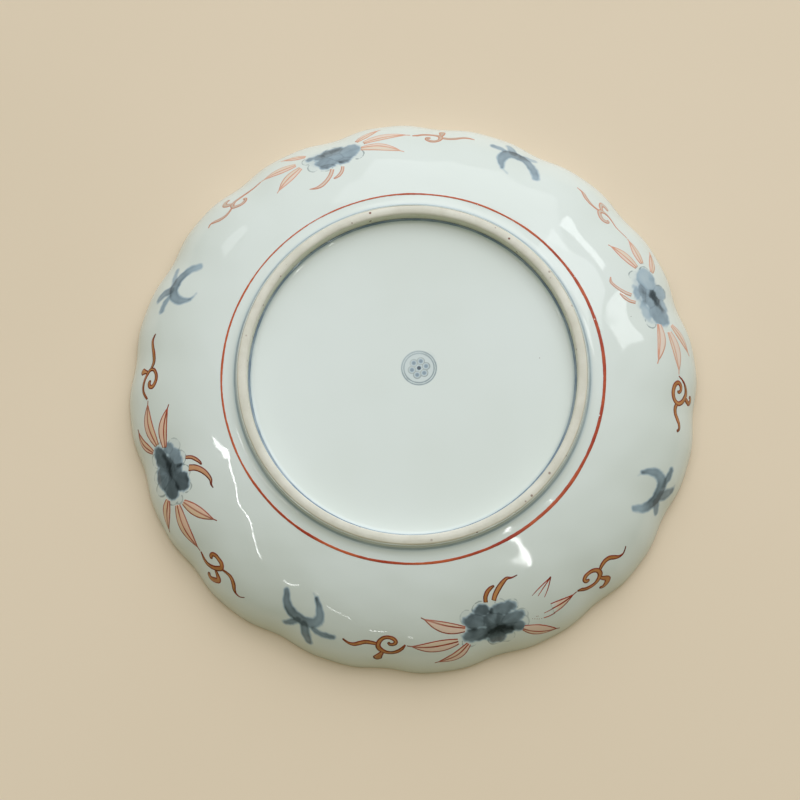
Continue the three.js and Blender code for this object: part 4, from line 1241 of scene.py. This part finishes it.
def glaze_material(groups):
    """Clear glaze over grey-green white porcelain, with blue painting beneath it."""
    material, graph, shader = new_material("celadon_white_glaze")
    base = graph.mix(graph.span(graph.noise(14.0, detail=3.0), 0.3, 0.7), GLAZE_WHITE, GLAZE_GREEN)
    gap = graph.attribute("circle_gap")
    base = graph.mix(graph.span(gap, 0.2, 1.7, 0.5, 0.0), base, CIRCLE_HALO)
    mottle = graph.group(groups["mottle"], {"Grain": 330.0, "Amount": 0.12})["Strength"]
    depth = graph.math("MULTIPLY", graph.attribute("blue_depth"), mottle)
    base = graph.mix(1.0, base, graph.ramp(depth, SLATE_BLUE), "MULTIPLY")
    outline = drawn_line(graph, groups, graph.attribute("outline_gap"), 0.22, wander=0.25, thin=0.6)
    base = graph.mix(graph.math("MULTIPLY", outline, 0.6), base, OUTLINE_BLUE)
    circle = drawn_line(graph, groups, gap, 0.46, wander=0.3, thin=0.3)
    outside = graph.span(graph.radius(), (LAND_MIDDLE - 0.5) * MM, (LAND_MIDDLE + 0.5) * MM)
    circle = graph.math("MULTIPLY", circle, graph.math("MULTIPLY_ADD", outside, -0.3, 0.85))
    base = graph.mix(circle, base, graph.mix(outside, CIRCLE_BLUE_INSIDE, CIRCLE_BLUE_OUTSIDE))
    specks = graph.group(groups["specks"], {"Scale": 85.0, "Size": 0.035, "Share": 0.10})["Mask"]
    base = graph.mix(graph.math("MULTIPLY", specks, 0.6), base, SPECK_BROWN)
    graph.feed(shader.inputs["Base Color"], base)
    graph.feed(shader.inputs["Roughness"], graph.span(graph.noise(30.0), 0.3, 0.7, 0.03, 0.06))
    shader.inputs["IOR"].default_value = 1.5
    bumped(graph, shader, graph.group(groups["ripple"], {"Ripple": 0.00003, "Peel": 0.0000008})["Height"])
    return material


def clay_material(groups):
    """The wiped, unglazed foot: cream fired clay with fine turning lines, iron specks and rubbed dirt. Its
    sides below the land are painted lighter, and the land's outer bend painted warmer, as painted light.
    """
    material, graph, shader = new_material("bare_foot_clay")
    place = graph.node("ShaderNodeSeparateXYZ", {"Vector": graph.place()}).outputs
    radius = graph.radius()
    base = graph.mix(graph.span(graph.noise(70.0, detail=4.0, roughness=0.65), 0.35, 0.7), CLAY, CLAY_GREY)
    base = graph.mix(graph.span(graph.noise(260.0, detail=3.0), 0.5, 0.8, 0.0, 0.4), base, CLAY_STAIN)
    # Painted warm light: the land's outer bend is painted browner in uneven patches, standing in for warm
    # light falling there
    outer = graph.span(radius, (CLAY_OUTER - 0.9) * MM, (CLAY_OUTER - 0.1) * MM, 0.0, 0.35)
    base = graph.mix(graph.math("MULTIPLY", outer, graph.noise(160.0)), base, CLAY_PAINTED_WARM_LIGHT)
    # Painted light: the sides below the land, the foot's inner wall most of all, are painted in a lighter
    # clay so that they look less shaded
    low = graph.span(place["Z"], (TOTAL_HEIGHT - 1.3) * MM, (TOTAL_HEIGHT - 0.2) * MM, 1.0, 0.0)
    base = graph.mix(low, base, CLAY_WALL_PAINTED_LIGHT)
    specks = graph.group(groups["specks"], {"Scale": 430.0, "Size": 0.24, "Share": 0.18})["Mask"]
    patches = graph.math("ADD", graph.span(graph.noise(24.0), 0.42, 0.62, 0.25, 0.8),
                         graph.span(place["Y"], -0.03, 0.06, 0.0, 0.3))
    speck = graph.mix(graph.noise(90.0), SPECK_BROWN, SPECK_RED)
    base = graph.mix(graph.math("MULTIPLY", specks, patches), base, speck)
    graph.feed(shader.inputs["Base Color"], base)
    graph.feed(shader.inputs["Roughness"], graph.span(graph.noise(120.0), 0.3, 0.7, 0.62, 0.8))
    turning = graph.node("ShaderNodeTexNoise", {"W": graph.math("MULTIPLY", radius, 2600.0), "Scale": 1.0,
                                                "Detail": 2.0}, noise_dimensions="1D").outputs["Fac"]
    grain = graph.math("MULTIPLY", graph.noise(1400.0), 0.00005)
    bumped(graph, shader, graph.math("MULTIPLY_ADD", turning, 0.00004, grain))
    return material


def enamel_relief(graph, shader, groups, line):
    """Enamel lies on the glaze: its drawn lines stand a little higher than its thin filling."""
    ripple = graph.group(groups["ripple"], {"Ripple": 0.00003, "Peel": 0.000004})["Height"]
    bumped(graph, shader, graph.math("MULTIPLY_ADD", line, 0.00004, ripple))


def painted_lines(graph, groups, half_width, rib):
    """The red outline of a stroke, and its rib where it has one."""
    line = drawn_line(graph, groups, graph.attribute("edge_gap"), half_width, wander=0.16, thin=0.2)
    if rib:
        gap = graph.math("ABSOLUTE", graph.attribute("rib_gap"))
        ribbed = drawn_line(graph, groups, gap, rib, wander=0.14, thin=0.35)
        line = graph.math("MAXIMUM", line, ribbed)
    return graph.math("MULTIPLY", line, graph.math("MULTIPLY_ADD", graph.attribute("ink"), 0.5, 0.5))


def enamel_material(groups, name, fill, reds, half_width, rib=0.0):
    """Thin filling colour with brushed iron-red lines. Where it is worn thin, the glaze shows."""
    material, graph, shader = new_material(name)
    line = painted_lines(graph, groups, half_width, rib)
    mottle = graph.group(groups["mottle"], {"Grain": 420.0, "Amount": 0.14})["Strength"]
    cover = graph.math("MINIMUM", graph.math("MULTIPLY", graph.attribute("fill"), mottle), 1.0)
    base = graph.mix(cover, BARE_GLAZE, fill(graph))
    red = graph.mix(graph.span(graph.noise(240.0, detail=3.0), 0.3, 0.7), *reds)
    red = graph.mix(graph.span(graph.attribute("tip_gap"), 0.6, 2.6, 0.6, 0.0), red, IRON_BROWN)
    red = graph.mix(graph.span(graph.attribute("ink"), 0.3, 1.0), IRON_RED_PALE, red)
    base = graph.mix(line, base, red)
    graph.feed(shader.inputs["Base Color"], base)
    shader.inputs["Specular IOR Level"].default_value = 0.3
    graph.feed(shader.inputs["Roughness"], graph.math("MULTIPLY_ADD", graph.noise(200.0), 0.12, 0.24))
    enamel_relief(graph, shader, groups, line)
    return material


def leaf_fill(graph):
    """Salmon on one side of the rib and a thin ochre on the other."""
    side = graph.span(graph.attribute("rib_gap"), -0.5, 0.5)
    return graph.mix(side, PALE_OCHRE, SALMON)


def ochre_fill(graph):
    """Worn gold-brown, and lighter on the hooks."""
    base = graph.mix(graph.span(graph.noise(260.0, detail=3.0), 0.35, 0.65), OCHRE, OCHRE_DEEP)
    return graph.mix(graph.attribute("tone"), base, HOOK_OCHRE)


def red_line_material(groups):
    """Iron red drawn round on the wheel: thin and orange where the brush ran dry, with small gaps."""
    material, graph, shader = new_material("iron_red_line")
    load = graph.span(graph.noise(60.0, detail=4.0, roughness=0.6), 0.3, 0.65)
    load = graph.math("MULTIPLY", load, graph.math("MULTIPLY_ADD", graph.attribute("load"), 0.7, 0.3))
    base = graph.mix(load, LINE_RED_DRY, LINE_RED)
    edge = graph.span(graph.math("MULTIPLY_ADD", graph.math("SUBTRACT", graph.noise(500.0), 0.5), 0.25,
                                 graph.attribute("edge_gap")), 0.02, 0.14)
    gaps = graph.span(graph.noise(320.0, detail=4.0, roughness=0.7), 0.66, 0.72)
    bare = graph.math("MAXIMUM", graph.math("SUBTRACT", 1.0, edge), gaps)
    base = graph.mix(bare, base, BARE_GLAZE)
    graph.feed(shader.inputs["Base Color"], base)
    graph.feed(shader.inputs["Roughness"], graph.span(graph.noise(200.0), 0.3, 0.7, 0.22, 0.36))
    shader.inputs["Specular IOR Level"].default_value = 0.25
    enamel_relief(graph, shader, groups, graph.math("SUBTRACT", 1.0, bare))
    return material


def floor_material():
    """A plain pale floor with a barely seen cloudiness."""
    material, graph, shader = new_material("studio_floor")
    cloud = graph.span(graph.noise(3.0, detail=4.0), 0.3, 0.7)
    graph.feed(shader.inputs["Base Color"], graph.mix(cloud, FLOOR_PALE, FLOOR_CLOUD))
    shader.inputs["Roughness"].default_value = 0.6
    return material


def build_floor():
    """A plain floor that reaches as far as a camera near it can see."""
    far = 6000.0
    corners = [(-far, -far, 0), (far, -far, 0), (far, far, 0), (-far, far, 0)]
    floor = make_mesh("floor", corners, [[0, 1, 2, 3]])
    floor.data.materials.append(floor_material())


# Light, at this distance in metres. A direction is its turn and its height in degrees.
LAMP_DISTANCE = 1.8
LAMP_TARGET = Vector((0.0, 0.0, 0.02))
SKY_DIRECTION = (75, 50)
SKY_BRIGHT = (0.66, 0.68, 0.745, 1.0)
SKY_DIM = (0.031, 0.031, 0.0, 1.0)
SKY_FOCUS = 7.0                       # how closely its light gathers round its brightest direction
SKY_STRENGTH = 3.0
BACKDROP = (0.20, 0.175, 0.135, 1.0)  # what the camera sees beyond the floor, before the sky's strength


def direction(turn, height):
    """The unit vector at a turn and a height in degrees."""
    turn, height = math.radians(turn), math.radians(height)
    return Vector((math.cos(height) * math.cos(turn), math.cos(height) * math.sin(turn), math.sin(height)))


def window(name, start, end, broad, radiance, tint=(1.0, 1.0, 1.0)):
    """A rectangular lamp from one direction to another: how broad it is, and how bright it looks."""
    first, last = LAMP_DISTANCE * direction(*start), LAMP_DISTANCE * direction(*end)
    middle = (first + last) / 2
    back = (middle - LAMP_TARGET).normalized()
    along = last - first
    lamp = bpy.data.lights.new(name, "AREA")
    lamp.shape = "RECTANGLE"
    lamp.size, lamp.size_y = along.length, broad
    lamp.energy = radiance * math.pi * along.length * broad
    lamp.color = tint
    along = (along - back * along.dot(back)).normalized()
    box = bpy.data.objects.new(name, lamp)
    bpy.context.scene.collection.objects.link(box)
    turned = Matrix((along, back.cross(along), back)).transposed()
    box.matrix_world = Matrix.Translation(middle) @ turned.to_4x4()


def build_lights():
    """A room lit from its far side, and panes and lamps that mirror in the glaze."""
    world = bpy.data.worlds.new("studio")
    bpy.context.scene.world = world
    world.use_nodes = True
    graph = Graph(world.node_tree)
    looking = graph.node("ShaderNodeTexCoord").outputs["Generated"]
    facing = graph.node("ShaderNodeVectorMath", {0: looking, 1: direction(*SKY_DIRECTION)},
                        operation="DOT_PRODUCT").outputs["Value"]
    share = graph.math("POWER", graph.math("MULTIPLY_ADD", facing, 0.5, 0.5), SKY_FOCUS)
    background = world.node_tree.nodes["Background"]
    seen = graph.node("ShaderNodeLightPath").outputs["Is Camera Ray"]
    graph.feed(background.inputs["Color"], graph.mix(seen, graph.mix(share, SKY_DIM, SKY_BRIGHT), BACKDROP))
    background.inputs["Strength"].default_value = SKY_STRENGTH
    cool = (0.95, 0.98, 1.0)
    window("window_far", (55, 36), (98, 36), 0.75, 1.0, cool)
    window("pane_streak", (40, 36), (54, 36), 0.17, 4.0, cool)
    window("pane_main", (36, 50), (58, 50), 0.38, 1.8, cool)
    window("pane_right", (24, 43), (33, 43), 0.44, 3.6, cool)
    window("pane_left", (121, 29), (131, 29), 0.24, 1.3, cool)
    window("strip_left", (174, 59), (214, 47.5), 0.017, 24.0)
    window("strip_end", (168, 58), (175, 58), 0.09, 14.0)
    window("strip_near", (238, 41), (246, 36), 0.012, 12.0)
    window("glint_near", (228, 45), (231, 44), 0.02, 12.0)
    window("glint_rim", (258, 29), (261, 28), 0.02, 12.0)
    window("lamp_near", (310, 60), (321, 73), 0.030, 18.0)
    window("glint_foot", (348, 74), (8, 78), 0.05, 30.0)


# The camera, fitted to the circles of the rim, the red line and the foot as photographed
CAMERA_PLACE = (-0.005214, -0.170070, 0.679720)
CAMERA_TILT = math.radians(13.79)     # off straight down, towards the plate's far side
CAMERA_ROLL = math.radians(-4.13)
CAMERA_LENS = 82.125                  # on a 36 mm sensor


def build_camera():
    """The camera, at the place and angle that the photograph was taken from."""
    data = bpy.data.cameras.new("view")
    data.sensor_width = 36.0
    data.lens = CAMERA_LENS
    data.clip_start = 0.01
    camera = bpy.data.objects.new("view", data)
    bpy.context.scene.collection.objects.link(camera)
    up = Vector((0.0, math.cos(CAMERA_TILT), math.sin(CAMERA_TILT)))
    right = Vector((1.0, 0.0, 0.0))
    forward = Vector((0.0, math.sin(CAMERA_TILT), -math.cos(CAMERA_TILT)))
    image_right = math.cos(CAMERA_ROLL) * right + math.sin(CAMERA_ROLL) * up
    image_up = math.cos(CAMERA_ROLL) * up - math.sin(CAMERA_ROLL) * right
    turned = Matrix((image_right, image_up, -forward)).transposed()
    camera.matrix_world = Matrix.Translation(CAMERA_PLACE) @ turned.to_4x4()
    bpy.context.scene.camera = camera


build_camera()
build_lights()
build_floor()
groups = {
    "line": brushed_line_group(),
    "mottle": mottle_group(),
    "specks": speck_group(),
    "ripple": ripple_group(),
}
dress(build_dish(), ["dish_body"], glaze_material(groups))
dress(build_foot(), ["foot_ring"], clay_material(groups))
dress(build_red_line(), ["red_ring"], red_line_material(groups))
build_sprays(
    enamel_material(groups, "salmon_leaf_enamel", leaf_fill, (IRON_RED, IRON_RED_THIN), 0.54, rib=0.28),
    enamel_material(groups, "ochre_scroll_enamel", ochre_fill, (IRON_BROWN, IRON_RED), 0.50),
)
bpy.context.scene.view_settings.view_transform = "Standard"
